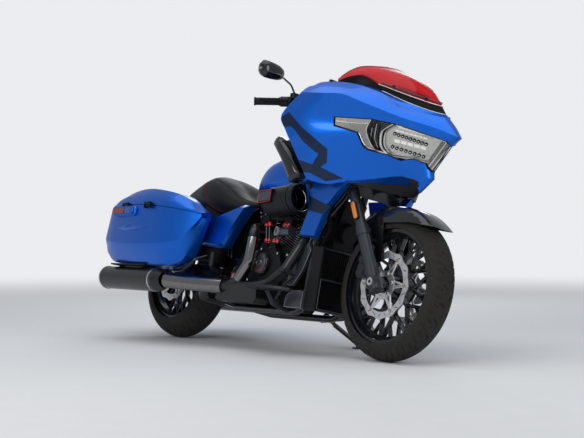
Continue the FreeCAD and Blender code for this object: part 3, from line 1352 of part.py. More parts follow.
def fairing_deck():
    """The black deck inside the fairing's top edge, carrying the screen's foot."""
    rows = (drawn_in(FAIRING_LEVELS[-1], 2.0, -1.0), drawn_in(SCREEN_FOOT, -14, -3), SCREEN_FOOT, DECK_REAR)
    return [largest(sheet(fairing_grid(rows), -4.0).cut(built(fairing_skin)))]


def inner_fairing():
    """The dash panel facing the rider, with round dials above a blank screen, its side pods and its stays."""
    outline = [(-212, 1030), (-214, 772), (-236, 764), (-300, 880), (-334, 950), (-346, 1010), (-350, 1090),
               (-316, 1190), (316, 1190), (350, 1090), (346, 1010), (334, 950), (300, 880),
               (236, 764), (214, 772), (212, 1030)]
    points = [Vector(DASH, y, z) for y, z in outline]
    panel = Part.Face(Part.makePolygon(points + points[:1])).extrude(FORWARD * 10)
    dials = [rod(Vector(DASH, y, 1112), Vector(DASH - 14, y, 1112), r) for y, r in DIALS]
    screen = block(Vector(DASH - 12, -84, 1030), Vector(DASH + 2, 84, 1072))
    low = [Vector(1172, -268, 768), Vector(DASH + 4, -236, 768), Vector(DASH + 4, -222, 768),
           Vector(1180, -236, 768)]
    high = [Vector(1084, -336, 922), Vector(DASH + 4, -322, 922), Vector(DASH + 4, -296, 922),
            Vector(1090, -304, 922)]
    pods = pair(Part.makeLoft([Part.makePolygon(r + r[:1]) for r in (low, high)], True, True))
    stays = pair(rod(Vector(1204, -100, 590), Vector(1200, -250, 776), 8))
    chin = sheet(fairing_grid((drawn_in(FAIRING_LEVELS[1][2:], 3.0), CHIN_EDGE)), 3.0)
    whole = fused([panel, screen] + dials + pods + stays)
    dash = largest(whole.cut(built(fairing_skin)).cut(built(fairing_deck)).cut(built(frame)))
    return [dash, largest(chin.cut(built(fairing_skin)))]


def scoops():
    """The painted panels below the fairing on each side, each on a stay from the cradle."""
    outline = [(1156, 748), (1300, 748), (1452, 758), (1330, 640), (1275, 496), (1166, 505), (1205, 622)]
    right = bevelled(outline, -212, -180, 14, 0.95, 0.95)
    stay = rod(Vector(1204, -100, 590), Vector(1226, -182, 600), 9)
    bare = fused([right, stay]).cut(built(frame)).cut(built(fairing))
    return pair(largest(bare.cut(built(inner_fairing))))


def radiator():
    """The radiator: a slatted upper half, a framed lower half and side caps."""
    core = block(Vector(1226, -150, 182), Vector(1276, 150, 462))
    slats = [block(Vector(1276, -142 + 12.0 * k, 330), Vector(1288, -137 + 12.0 * k, 456))
             for k in range(24)]
    bars = [block(Vector(1276, -150, low), Vector(1292, 150, high)) for low,
            high in ((318, 330), (182, 192), (456, 466))]
    sides = [block(Vector(1222, y, 178), Vector(1297, y + 12, 466)) for y in (-162, 150)]
    hangers = [block(Vector(1184, s * RAIL_OFFSET - 12, z), Vector(1226, s * RAIL_OFFSET + 12, z + 12))
               for s in (-1, 1) for z in (210, 420)]
    panel = slab([(1186, 455), (1232, 455), (1244, 560), (1294, 694), (1274, 700), (1220, 640),
                  (1196, 560)], -60, 60)
    horn = rod(Vector(1240, 0, 560), Vector(1278, 0, 548), 46)
    whole = fused([core, panel, horn] + slats + bars + sides + hangers)
    return [largest(whole.cut(built(frame)).cut(built(inner_fairing)))]


def foot_controls():
    """Each side's footboard on its bracket, with the brake pedal on the right and the shifter on the left."""
    outline = [(948, -236), (948, -306), (982, -336), (1150, -336), (1216, -300), (1226, -262),
               (1210, -236)]
    board = plate(outline, 246, 258)
    start = RAIL_OFFSET + TUBE_RADIUS - 1
    arm = pipe([Vector(1066, -start, RAIL_HEIGHT), Vector(1066, -214, 190), Vector(1066, -262, 247)], 12,
               30)
    pivot = rod(Vector(1066, -226, 200), Vector(1066, -196, 200), 16)
    brake = pipe([Vector(1066, -214, 200), Vector(1130, -216, 282), Vector(1206, -222, 318),
                  Vector(1214, -290, 326)], 7, 30)
    pad = block(Vector(1196, -318, 322), Vector(1236, -262, 336))
    shift = pipe([Vector(1066, 214, 200), Vector(1130, 216, 282), Vector(1226, 222, 326)], 7, 30)
    peg = rod(Vector(1226, 216, 326), Vector(1226, 290, 326), 11)
    cradle = built(frame)
    right = fused([board, arm, pivot, brake, pad])
    left = fused([mirrored(board), mirrored(arm), mirrored(pivot), shift, peg])
    peg_stem = pipe([Vector(PIVOT.x, -ARM_OUTER - FIT, PIVOT.z), Vector(512, -212, 345),
                     Vector(530, -224, 420)], 8, 25)
    rubber = rod(Vector(515, -214, 358), Vector(530, -224, 424), 13)
    rear = largest(fused([peg_stem, rubber]).cut(built(swingarm)))
    return [largest(right.cut(cradle)), largest(left.cut(cradle))] + pair(rear)


def engine_mounts():
    """The leaf-shaped covers in front of the engine, the foot cowls and the small canister by the heads."""
    leaf = [(1172, 492), (1188, 452), (1150, 360), (1094, 288), (1056, 286), (1052, 320), (1094, 420),
            (1140, 480)]
    foot = [(1098, 182), (1220, 182), (1220, 262), (1130, 262), (1098, 232)]
    side = RAIL_OFFSET + TUBE_RADIUS
    pieces = pair(bevelled(leaf, -side - 14, -side + 1, 6, 0.94,
                           0.94)) + pair(bevelled(foot, -176, -side + 1, 10, 0.95, 0.9))
    pieces = [largest(p.cut(built(frame)).cut(built(exhaust_headers))) for p in pieces]
    pot = fused([rod(Vector(985, -182, 530), Vector(1072, -182, 530), 20),
                 rod(Vector(978, -182, 530), Vector(988, -182, 530), 23),
                 rod(Vector(1030, -182, 530), Vector(1012, -80, 560), 9)])
    return pieces + [largest(pot.cut(built(cylinders)).cut(built(exhaust_headers)))]


# Side stand


def ground(x, y):
    """The floor's height under a point of the upright frame, once the machine leans."""
    lean = math.radians(LEAN)
    rise = REAR_WIDTH / 2 * (1 - math.cos(lean))
    return (math.sin(lean) * y + PITCH * x - rise) / math.cos(lean)


PITCH = (REAR_WIDTH - FRONT_WIDTH) / 2 * (1 - math.cos(math.radians(LEAN))) / WHEELBASE
STAND_PIVOT = Vector(1010, 158, 190)
STAND_FOOT = Vector(1092, 318, 0)
STAND_FOLDED = Vector(-190, 62, 4)


def side_stand():
    """The side stand down on its foot, leaning ahead of its pivot so that the load holds it."""
    up = Vector(-PITCH, -math.sin(math.radians(LEAN)), math.cos(math.radians(LEAN)))
    sole = Vector(STAND_FOOT.x, STAND_FOOT.y, ground(STAND_FOOT.x, STAND_FOOT.y))
    leg = pipe([STAND_PIVOT, STAND_PIVOT + Vector(12, 44, -34), sole + up * 16], 11, 30)
    foot = rod(sole, sole + up * 8, 34)
    cup = rod(sole + up * 8, sole + up * 22, 16)
    eye = rod(STAND_PIVOT - stand_axis() * STAND_EYE, STAND_PIVOT + stand_axis() * STAND_EYE, 17)
    behind = rod(STAND_PIVOT - stand_axis() * 60, STAND_PIVOT - stand_axis() * STAND_EYE, 60)
    return [fused([leg, foot, cup, eye]).cut(behind)]


def stand_axis():
    sole = Vector(STAND_FOOT.x, STAND_FOOT.y, ground(STAND_FOOT.x, STAND_FOOT.y))
    return (sole - STAND_PIVOT).cross(STAND_FOLDED).normalize()


def stand_bracket():
    """The frame bracket that carries the stand's pivot."""
    start = STAND_PIVOT - stand_axis() * 30
    arm = rod(Vector(1010, RAIL_OFFSET, RAIL_HEIGHT), start, 13)
    pin = rod(start, STAND_PIVOT - stand_axis() * (STAND_EYE + 0.4), 18)
    return [fused([arm, pin])]


NODES = {
    "frame": frame,
    "swingarm": swingarm,
    "rear_axle": rear_axle,
    "rear_shocks": rear_shocks,
    "drive_belt": drive_belt,
    "rear_caliper": rear_caliper,
    "crankcase": crankcase,
    "cylinders": cylinders,
    "rocker_covers": rocker_covers,
    "primary_cover": primary_cover,
    "pushrods": pushrods,
    "air_intake": air_intake,
    "exhaust_headers": exhaust_headers,
    "heat_shields": heat_shields,
    "mufflers": mufflers,
    "tank": tank,
    "fuel_cap": fuel_cap,
    "seat": seat,
    "side_covers": side_covers,
    "battery_box": battery_box,
    "rear_fender": rear_fender,
    "tail_lamps": tail_lamps,
    "plate_holder": plate_holder,
    "saddlebags": lambda: [half for piece in saddlebag() for half in pair(piece)],
    "bag_brackets": bag_brackets,
    "fairing": fairing,
    "headlamp": headlamp,
    "windscreen": windscreen,
    "fairing_deck": fairing_deck,
    "inner_fairing": inner_fairing,
    "scoops": scoops,
    "radiator": radiator,
    "engine_mounts": engine_mounts,
    "foot_controls": foot_controls,
    "right_lid": bag_lid,
    "left_lid": lambda: [mirrored(piece) for piece in bag_lid()],
    "side_stand": side_stand,
    "front_calipers": front_calipers,
    "front_tyre": lambda: [tyre(FRONT_AXLE, FRONT_RADIUS, FRONT_WIDTH, FRONT_RIM_RADIUS, FRONT_RIM_WIDTH)],
    "front_rim": lambda: [rim(FRONT_AXLE, FRONT_RIM_RADIUS, FRONT_RIM_WIDTH, FRONT_HUB_WIDTH, SPOKES)],
    "front_discs": front_discs,
    "rear_tyre": lambda: [tyre(REAR_AXLE, REAR_RADIUS, REAR_WIDTH, REAR_RIM_RADIUS, REAR_RIM_WIDTH)],
    "rear_rim": lambda: [rim(REAR_AXLE, REAR_RIM_RADIUS, REAR_RIM_WIDTH, REAR_HUB_WIDTH, SPOKES)],
    "rear_disc": rear_disc,
    "belt_pulley": belt_pulley,
    "front_axle": front_axle,
    "fork_sliders": fork_sliders,
    "fork_tubes": fork_tubes,
    "triple_clamps": triple_clamps,
    "handlebar": handlebar,
    "grips": grips,
    "hand_controls": hand_controls,
    "mirrors": mirrors,
    "front_fender": front_fender,
}


def stance():
    """The turn and lift that lean the machine onto its stand with both tyres on the floor."""
    lean = FreeCAD.Rotation(FORWARD, -LEAN)
    pitch = FreeCAD.Rotation(LEFT, math.degrees(math.asin(PITCH)))
    rise = REAR_WIDTH / 2 * (1 - math.cos(math.radians(LEAN)))
    return FreeCAD.Placement(FLOOR_UP * rise, pitch.multiply(lean))


def parked():
    """Every node leaned, with the origin under the middle of the parked machine."""
    nodes = {}
    low, high = Vector(1e9, 1e9, 0), Vector(-1e9, -1e9, 0)
    for name, build in NODES.items():
        shape = built(build).copy()
        shape.Placement = stance()
        nodes[name] = shape
        for p in shape.tessellate(0.5)[0]:
            low = Vector(min(low.x, p.x), min(low.y, p.y), 0)
            high = Vector(max(high.x, p.x), max(high.y, p.y), 0)
    middle = (low + high) * 0.5
    place = FreeCAD.Placement(middle * -1, FreeCAD.Rotation()).multiply(stance())
    for shape in nodes.values():
        shape.Placement = place
    return nodes, place


def say(name, place, point, axis):
    """Print a joint's or mount's point and direction on the parked machine."""
    p = place.multVec(point)
    a = place.Rotation.multVec(axis)
    print("place", name, *(round(v, 4) for v in (p.x, p.y, p.z, a.x, a.y, a.z)))


os.makedirs("parts", exist_ok=True)
NODE_SHAPES, PLACE = parked()
for node_name, node_shape in NODE_SHAPES.items():
    node_shape.exportStep("parts/" + node_name + ".step")
    print("node", node_name, len(node_shape.Solids), node_shape.isValid(), round(node_shape.Volume / 1e3))

say("origin", PLACE, Vector(0, 0, 0), FORWARD)
say("steering", PLACE, steering_point(900), STEER_AXIS)
say("front_axle", PLACE, FRONT_AXLE, LEFT)
say("rear_axle", PLACE, REAR_AXLE, LEFT)
say("right_lid", PLACE, Vector(0, -LID_HINGE.y, LID_HINGE.z), FORWARD)
say("left_lid", PLACE, LID_HINGE, FORWARD * -1)
say("side_stand", PLACE, STAND_PIVOT, stand_axis())
say("seat", PLACE, Vector(520, 0, 752), FLOOR_UP)
say("foot", PLACE, Vector(STAND_FOOT.x, STAND_FOOT.y, ground(STAND_FOOT.x, STAND_FOOT.y)), FLOOR_UP)
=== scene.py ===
"""The look of a parked touring cruiser: its finishes and fine shapes, over its CAD frame.

Fine shapes are drawn in millimetres on the upright machine, as the CAD source does: X forward from
the rear axle, Y to the rider's left, Z up. UPRIGHT then leans them onto the side stand with the rest.
"""

import json
import math

import bmesh
import bpy
from mathutils import Matrix, Vector
from mathutils.bvhtree import BVHTree
from mathutils.kdtree import KDTree

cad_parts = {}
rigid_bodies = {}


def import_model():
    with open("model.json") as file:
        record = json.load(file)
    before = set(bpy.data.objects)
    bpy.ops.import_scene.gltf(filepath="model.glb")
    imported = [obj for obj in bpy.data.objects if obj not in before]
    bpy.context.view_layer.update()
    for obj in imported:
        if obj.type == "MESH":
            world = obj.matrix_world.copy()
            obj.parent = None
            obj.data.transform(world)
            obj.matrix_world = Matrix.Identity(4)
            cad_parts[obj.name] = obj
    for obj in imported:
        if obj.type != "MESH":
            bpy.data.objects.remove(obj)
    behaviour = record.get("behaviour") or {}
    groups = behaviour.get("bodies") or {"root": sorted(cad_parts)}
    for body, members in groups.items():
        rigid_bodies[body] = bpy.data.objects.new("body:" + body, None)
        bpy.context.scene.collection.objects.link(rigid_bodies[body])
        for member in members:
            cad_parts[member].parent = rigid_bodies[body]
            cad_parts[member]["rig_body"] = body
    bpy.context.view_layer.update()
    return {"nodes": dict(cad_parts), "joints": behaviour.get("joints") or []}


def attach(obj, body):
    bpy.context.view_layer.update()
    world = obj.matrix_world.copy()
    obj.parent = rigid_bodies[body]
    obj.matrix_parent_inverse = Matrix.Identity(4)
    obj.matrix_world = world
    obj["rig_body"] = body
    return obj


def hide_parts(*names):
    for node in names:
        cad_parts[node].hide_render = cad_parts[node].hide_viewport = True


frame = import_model()
NODES = frame["nodes"]
JOINTS = {joint["name"]: joint for joint in frame["joints"]}
MILLIMETRE = 0.001

# Places on the upright machine, as in the CAD source
REAR_AXLE = Vector((0.0, 0.0, 327.5))
FRONT_AXLE = Vector((1625.0, 0.0, 319.0))
CRANK = Vector((866.0, 0.0, 345.0))
ACROSS = Vector((0.0, 1.0, 0.0))
AHEAD = Vector((1.0, 0.0, 0.0))
UP = Vector((0.0, 0.0, 1.0))


def upright_matrix():
    """From upright millimetres to the parked machine in metres."""
    left = Vector(JOINTS["rear_wheel_spin"]["axis"]).normalized()
    ahead = Vector(JOINTS["right_lid_open"]["axis"]).normalized()
    up = ahead.cross(left).normalized()
    origin = Vector(JOINTS["rear_wheel_spin"]["pos_m"]) - up * REAR_AXLE.z * MILLIMETRE
    turn = Matrix((ahead, left, up)).transposed().to_4x4()
    return Matrix.Translation(origin) @ turn @ Matrix.Scale(MILLIMETRE, 4)


UPRIGHT = upright_matrix()
TO_UPRIGHT = UPRIGHT.inverted()


def placed(name, data):
    """An object of the scene with this mesh, lamp or camera."""
    made = bpy.data.objects.new(name, data)
    bpy.context.scene.collection.objects.link(made)
    return made


# Node trees


def fed(tree, node, values):
    """Sets a node's inputs: a socket is linked, anything else is the input's own value."""
    for key, value in values.items():
        if isinstance(value, bpy.types.NodeSocket):
            tree.links.new(value, node.inputs[key])
        else:
            node.inputs[key].default_value = value
    return node


def grown(tree, kind, values=None, **settings):
    """A new node with its settings and its inputs."""
    node = tree.nodes.new(kind)
    for key, value in settings.items():
        setattr(node, key, value)
    return fed(tree, node, values or {})


def computed(tree, operation, first, second):
    """A number worked out from two others."""
    return grown(tree, "ShaderNodeMath", {0: first, 1: second}, operation=operation).outputs[0]


def ranged(tree, value, low, high, start=0.0, end=1.0, **settings):
    """A number carried from the range start to end over to the range low to high."""
    values = {"Value": value, "From Min": start, "From Max": end, "To Min": low, "To Max": high}
    return grown(tree, "ShaderNodeMapRange", values, **settings).outputs["Result"]


def mixed(tree, share, first, second):
    """A colour between two."""
    return grown(tree, "ShaderNodeMix", {"Factor": share, "A": first, "B": second},
                 data_type="RGBA").outputs["Result"]


def noise(tree, scale, detail=2.0):
    """Noise over the piece's own place."""
    place = grown(tree, "ShaderNodeTexCoord").outputs["Object"]
    return grown(tree, "ShaderNodeTexNoise",
                 {"Vector": place, "Scale": scale, "Detail": detail}).outputs["Fac"]


def seen_share(tree, glossy):
    """1 for what the camera sees straight on or through glass, and a share of it for what shines."""
    path = grown(tree, "ShaderNodeLightPath").outputs
    shining = computed(tree, "MULTIPLY", path["Is Glossy Ray"], glossy)
    seen = computed(tree, "MAXIMUM", path["Is Camera Ray"], shining)
    return computed(tree, "MAXIMUM", seen, path["Is Transmission Ray"])


# Camera and light

# The photographer's eye in upright millimetres; the camera's place and axes in the parked metres
EYE = Vector((5271.0, -3399.0, -177.0))
CAMERA_PLACE = (4.53022786, -3.56150349, 0.52267353)
CAMERA_AXES = ((0.6175806, 0.78650866, -0.00182327), (0.01495448, -0.00941458, 0.99987684),
               (0.78636548, -0.61756048, -0.01756499))
LENS = 71.493
PALE = (0.83, 0.845, 0.865, 1)
SKY = (0.62, 0.66, 0.72, 1)
SKY_STRENGTH = 0.36
PALE_IN_GLOSS = 0.3
COOL, WARM = (0.97, 0.99, 1.0), (1.0, 0.985, 0.96)
PANELS = (
    # name, place, what it faces, its two sizes in metres, power, colour
    ("sky_panel", (0.4, -0.6, 4.2), (0.1, 0.0, 0.4), (5.5, 4.0), 82, COOL),
    ("side_panel", (1.4, -4.6, 2.6), (0.2, 0.0, 0.5), (3.6, 1.2), 60, WARM),
    ("front_panel", (5.6, 0.6, 2.4), (0.6, 0.0, 0.5), (1.4, 2.4), 40, WARM),
    ("back_panel", (-3.4, 3.2, 2.8), (0.0, 0.0, 0.6), (3.0, 1.6), 44, (0.96, 0.98, 1.0)),
)
# Where the floor starts to fade and where it is gone, and half its side, in metres
FADE_NEAR, FADE_FAR = 0.9, 12.0
FLOOR_REACH = 30


def place_camera():
    """The photographer's place, fitted to the wheels' outlines, the front axle's cap and the horizon."""
    camera = placed("camera", bpy.data.cameras.new("camera"))
    camera.matrix_world = Matrix.Translation(CAMERA_PLACE) @ Matrix(CAMERA_AXES).transposed().to_4x4()
    camera.data.lens = LENS
    camera.data.sensor_width = 36.0
    camera.data.clip_end = 60.0
    bpy.context.scene.camera = camera


def light_scene():
    """Soft overcast light: a broad panel overhead, three beside the machine and a plain sky."""
    for name, place, target, size, power, colour in PANELS:
        light = bpy.data.lights.new(name, "AREA")
        light.shape = "RECTANGLE"
        light.size, light.size_y = size
        light.energy = power
        light.color = colour
        panel = placed(name, light)
        panel.location = place
        panel.rotation_euler = (Vector(target) - Vector(place)).to_track_quat("-Z", "Y").to_euler()
    world = bpy.data.worlds.new("world")
    bpy.context.scene.world = world
    world.use_nodes = True
    tree = world.node_tree
    tree.nodes.clear()
    sky = grown(tree, "ShaderNodeBackground", {"Color": SKY, "Strength": SKY_STRENGTH}).outputs[0]
    pale = grown(tree, "ShaderNodeBackground", {"Color": PALE, "Strength": 1.0}).outputs[0]
    share = seen_share(tree, PALE_IN_GLOSS)
    blend = grown(tree, "ShaderNodeMixShader", {0: share, 1: sky, 2: pale})
    grown(tree, "ShaderNodeOutputWorld", {"Surface": blend.outputs[0]})


def lay_floor():
    """A plain pale floor that fades into the pale background far from the machine."""
    material = finish("concrete")
    tree = material.node_tree
    place = grown(tree, "ShaderNodeTexCoord").outputs["Object"]
    reach = grown(tree, "ShaderNodeVectorMath", {0: place}, operation="LENGTH").outputs["Value"]
    far = ranged(tree, reach, 0.0, 1.0, FADE_NEAR, FADE_FAR, interpolation_type="SMOOTHSTEP")
    share = computed(tree, "MULTIPLY", far, seen_share(tree, 1.0))
    glow = grown(tree, "ShaderNodeEmission", {"Color": PALE, "Strength": 1.0}).outputs[0]
    ground = tree.nodes["Principled BSDF"].outputs[0]
    faded = grown(tree, "ShaderNodeMixShader", {0: share, 1: ground, 2: glow})
    fed(tree, tree.nodes["Material Output"], {"Surface": faded.outputs[0]})
    floor = placed("floor", bpy.data.meshes.new("floor"))
    corners = [(x * FLOOR_REACH, y * FLOOR_REACH, 0) for x, y in ((-1, -1), (1, -1), (1, 1), (-1, 1))]
    floor.data.from_pydata(corners, [], [(0, 1, 2, 3)])
    floor.data.materials.append(material)


# Finishes

# Base colour, second tone, metallic, roughness from and to, grain per metre, bump and coat
FINISHES = {
    "blue_paint": ((0.0, 0.115, 0.60), (0.0, 0.140, 0.70), 0.85, 0.30, 0.38, 900, 0.01, 0.35),
    "navy_paint": ((0.001, 0.014, 0.055), (0.002, 0.018, 0.068), 0.6, 0.3, 0.36, 900, 0.01, 0.3),
    "gloss_black": ((0.004, 0.0045, 0.006), (0.007, 0.0075, 0.009), 0.0, 0.12, 0.2, 60, 0.01, 0.6),
    "satin_black": ((0.006, 0.0065, 0.008), (0.011, 0.0115, 0.013), 0.0, 0.38, 0.5, 90, 0.02, 0.0),
    "wrinkle_black": ((0.005, 0.0055, 0.006), (0.010, 0.0105, 0.012), 0.0, 0.45, 0.62, 1400, 0.22, 0.0),
    "plastic_black": ((0.006, 0.006, 0.007), (0.010, 0.010, 0.011), 0.0, 0.42, 0.58, 1800, 0.12, 0.0),
    "deep_black": ((0.003, 0.003, 0.003), (0.005, 0.005, 0.005), 0.0, 0.7, 0.85, 300, 0.05, 0.0),
    "smoke_grey": ((0.10, 0.11, 0.125), (0.13, 0.14, 0.155), 0.6, 0.3, 0.42, 200, 0.03, 0.3),
    "exhaust_black": ((0.008, 0.008, 0.009), (0.014, 0.014, 0.014), 0.1, 0.26, 0.38, 70, 0.02, 0.2),
    "smoked_chrome": ((0.15, 0.146, 0.15), (0.24, 0.23, 0.225), 1.0, 0.08, 0.18, 30, 0.01, 0.6),
    "machined": ((0.72, 0.73, 0.75), (0.82, 0.83, 0.85), 1.0, 0.26, 0.38, 260, 0.06, 0.0),
    "bright_steel": ((0.66, 0.67, 0.69), (0.76, 0.77, 0.79), 1.0, 0.14, 0.26, 160, 0.02, 0.0),
    "dark_metal": ((0.035, 0.037, 0.042), (0.055, 0.058, 0.064), 0.7, 0.3, 0.42, 120, 0.04, 0.0),
    "fork_black": ((0.03, 0.034, 0.042), (0.045, 0.05, 0.06), 0.5, 0.3, 0.4, 80, 0.02, 0.2),
    "alloy_black": ((0.007, 0.008, 0.010), (0.012, 0.013, 0.016), 0.2, 0.16, 0.26, 60, 0.01, 0.6),
    "brass": ((0.52, 0.36, 0.16), (0.62, 0.44, 0.2), 1.0, 0.25, 0.35, 200, 0.02, 0.0),
    "tyre_rubber": ((0.018, 0.017, 0.016), (0.038, 0.035, 0.032), 0.0, 0.7, 0.88, 60, 0.25, 0.0),
    "lens_grey": ((0.36, 0.345, 0.32), (0.46, 0.44, 0.41), 0.2, 0.2, 0.3, 300, 0.03, 0.5),
    "lens_warm": ((0.78, 0.70, 0.48), (0.88, 0.82, 0.62), 0.5, 0.12, 0.2, 300, 0.03, 0.5),
    "panel_grey": ((0.055, 0.065, 0.085), (0.08, 0.09, 0.11), 0.5, 0.32, 0.42, 200, 0.03, 0.3),
    "rubber": ((0.012, 0.012, 0.012), (0.02, 0.02, 0.02), 0.0, 0.6, 0.75, 400, 0.12, 0.0),
    "leather": ((0.009, 0.009, 0.010), (0.015, 0.015, 0.016), 0.0, 0.46, 0.62, 700, 0.35, 0.0),
    "pad_leather": ((0.035, 0.037, 0.042), (0.05, 0.053, 0.06), 0.0, 0.46, 0.6, 700, 0.35, 0.0),
    "red_thread": ((0.30, 0.006, 0.008), (0.40, 0.010, 0.012), 0.0, 0.5, 0.65, 900, 0.25, 0.0),
    "red_enamel": ((0.50, 0.006, 0.008), (0.62, 0.012, 0.012), 0.1, 0.22, 0.3, 200, 0.01, 0.5),
    "reflector": ((0.74, 0.73, 0.70), (0.88, 0.87, 0.84), 1.0, 0.1, 0.22, 120, 0.03, 0.0),
    "dark_chrome": ((0.30, 0.30, 0.29), (0.46, 0.45, 0.43), 1.0, 0.2, 0.34, 90, 0.05, 0.0),
    "lamp_chrome": ((0.56, 0.555, 0.54), (0.80, 0.79, 0.76), 1.0, 0.22, 0.5, 60, 0.3, 0.0),
    "lens_white": ((0.80, 0.80, 0.77), (0.88, 0.87, 0.83), 0.0, 0.15, 0.25, 300, 0.03, 0.4),
    "amber": ((0.85, 0.20, 0.02), (0.95, 0.30, 0.04), 0.0, 0.2, 0.3, 500, 0.10, 0.5),
    "red_lens": ((0.42, 0.006, 0.006), (0.55, 0.012, 0.010), 0.0, 0.12, 0.2, 500, 0.08, 0.6),
    "reflector_red": ((0.20, 0.03, 0.04), (0.34, 0.07, 0.08), 0.3, 0.15, 0.25, 500, 0.08, 0.5),
    "concrete": ((0.86, 0.865, 0.87), (0.90, 0.905, 0.91), 0.0, 0.8, 0.9, 9, 0.01, 0.0),
}
# Painted light: a faint glow on the lamp's white and warm cells stands in for the light they catch behind the
# clear cover
LENS_PAINTED_GLOW = {"Emission Color": (0.95, 0.95, 0.9, 1), "Emission Strength": 0.35}
BUMP_HEIGHT = 0.0006
GRAIN_DETAIL = 3.0
CLOUD_SCALE, CLOUD_DETAIL, CLOUD_LOW, CLOUD_HIGH = 5.0, 5.0, 0.3, 0.7
SPECULAR_COATED, SPECULAR_BARE = 0.4, 0.22
SMOKE_TINT = (0.010, 0.006, 0.010, 1)
RED_FROM, RED_FULL = 0.46, 0.54
SMOKE_ALPHA, RED_ALPHA = 0.95, 0.80
MADE = {}


def new_finish(name):
    """An empty material with its node tree and its shader."""
    material = bpy.data.materials.new(name)
    material.use_nodes = True
    return material, material.node_tree, material.node_tree.nodes["Principled BSDF"]


def finish(name):
    """A painted, cast, rubber or leather surface: two close tones, uneven gloss and a fine grain."""
    if name in MADE:
        return MADE[name]
    first, second, metallic, smooth, rough, scale, bump, coat = FINISHES[name]
    material, tree, shader = new_finish(name)
    grain = noise(tree, scale, GRAIN_DETAIL)
    relief = grown(tree, "ShaderNodeBump", {"Strength": bump, "Distance": BUMP_HEIGHT, "Height": grain})
    cloud = noise(tree, CLOUD_SCALE, CLOUD_DETAIL)
    fed(tree, shader, {
        "Base Color": mixed(tree, grain, (*first, 1), (*second, 1)),
        "Roughness": ranged(tree, cloud, smooth, rough, CLOUD_LOW, CLOUD_HIGH),
        "Metallic": metallic, "Coat Weight": coat, "Coat Roughness": 0.04,
        "Specular IOR Level": SPECULAR_COATED if coat else SPECULAR_BARE, "Normal": relief.outputs["Normal"]})
    # The lamp's cells take the painted glow
    if name in ("lens_white", "lens_warm"):
        fed(tree, shader, LENS_PAINTED_GLOW)
    MADE[name] = material
    return material


def clear_cover():
    """The lamp's clear cover: a glossy, nearly invisible sheet, very slightly uneven."""
    material, tree, shader = new_finish("clear_cover")
    wave = noise(tree, 14.0)
    fed(tree, shader, {"Roughness": ranged(tree, wave, 0.02, 0.08), "Alpha": 0.06,
                       "Base Color": mixed(tree, wave, (0.02, 0.022, 0.025, 1), (0.035, 0.037, 0.04, 1))})
    return material


def tinted_screen():
    """Red see-through sheet with a smoked foot; where it turns red is its own attribute."""
    material, tree, shader = new_finish("tinted_screen")
    rise = grown(tree, "ShaderNodeAttribute", attribute_name="rise").outputs["Fac"]
    fade = ranged(tree, rise, 0.0, 1.0, RED_FROM, RED_FULL)
    red = mixed(tree, noise(tree, 16.0), (0.62, 0.004, 0.012, 1), (0.74, 0.010, 0.020, 1))
    fed(tree, shader, {"Base Color": mixed(tree, fade, SMOKE_TINT, red), "Roughness": 0.24,
                       "Alpha": ranged(tree, fade, SMOKE_ALPHA, RED_ALPHA), "Specular IOR Level": 0.06})
    return material


# Shapes: each is (points, faces) in upright millimetres

# The share of a side panel's depth at which its edge starts to draw in
EDGE_START = 0.7


def merged(shapes):
    """Several shapes as one."""
    points, faces = [], []
    for more_points, more_faces in shapes:
        shift = len(points)
        points += more_points
        faces += [tuple(i + shift for i in face) for face in more_faces]
    return points, faces


def across(point):
    """The same place on the machine's other side."""
    return Vector((point.x, -point.y, point.z))


def both(shape):
    """A right-hand shape and its left-hand twin."""
    points, faces = shape
    return merged([shape, ([across(p) for p in points], [tuple(reversed(f)) for f in faces])])


def lofted(rings, caps=True, around=True):
    """A skin through rings of equally many points."""
    count = len(rings[0])
    faces = []
    for i in range(len(rings) - 1):
        for j in range(count if around else count - 1):
            a, b = i * count + j, i * count + (j + 1) % count
            faces.append((a, b, b + count, a + count))
    if caps:
        faces.append(tuple(range(count - 1, -1, -1)))
        faces.append(tuple(range((len(rings) - 1) * count, len(rings) * count)))
    return [p for ring in rings for p in ring], faces


def circle(centre, side, over, radius, steps):
    """Points round a centre."""
    turns = [2 * math.pi * k / steps for k in range(steps)]
    return [centre + (side * math.cos(t) + over * math.sin(t)) * radius for t in turns]


def lathe(profile, centre, axis, steps=48, caps=False, closed=False):
    """A shape turned about an axis, from (along, radius) pairs."""
    axis = axis.normalized()
    side = axis.orthogonal().normalized()
    over = axis.cross(side)
    return lofted([circle(centre + axis * along, side, over, radius, steps)
                   for along, radius in profile + (profile[:1] if closed else [])], caps)


def boss(centre, axis, radius, height, chamfer=1.0, steps=32):
    """A short round head with a chamfered face, standing on centre."""
    profile = [(0, radius), (height - chamfer, radius), (height, radius - chamfer)]
    return lathe(profile, centre, axis, steps, True)


def between(a, b, c, d, t):
    """The value at a share t of the way from b to c on a smooth curve that also meets a and d."""
    return (b * 2 + (c - a) * t + (a * 2 - b * 5 + c * 4 - d) * t ** 2
            + (b * 3 - a - c * 3 + d) * t ** 3) * 0.5


def curved(points, parts):
    """A smooth curve through the points."""
    fine = []
    for i in range(len(points) - 1):
        b, c = points[i], points[i + 1]
        a = points[i - 1] if i else b * 2 - c
        d = points[i + 2] if i + 2 < len(points) else c * 2 - b
        fine += [between(a, b, c, d, k / parts) for k in range(parts)]
    return fine + [points[-1]]


def cable(points, radius, sides=8, parts=6):
    """A round tube along a smooth curve."""
    path = curved([Vector(p) for p in points], parts)
    rings = []
    side = (path[1] - path[0]).orthogonal().normalized()
    for i, p in enumerate(path):
        run = (path[min(i + 1, len(path) - 1)] - path[max(i - 1, 0)]).normalized()
        side = (side - run * side.dot(run)).normalized()
        rings.append(circle(p, side, run.cross(side), radius, sides))
    return lofted(rings)


def box(low, high):
    """An upright block between two corners."""
    (a, b, c), (d, e, f) = low, high
    return lofted([[Vector(p) for p in ((a, b, z), (d, b, z), (d, e, z), (a, e, z))] for z in (c, f)])


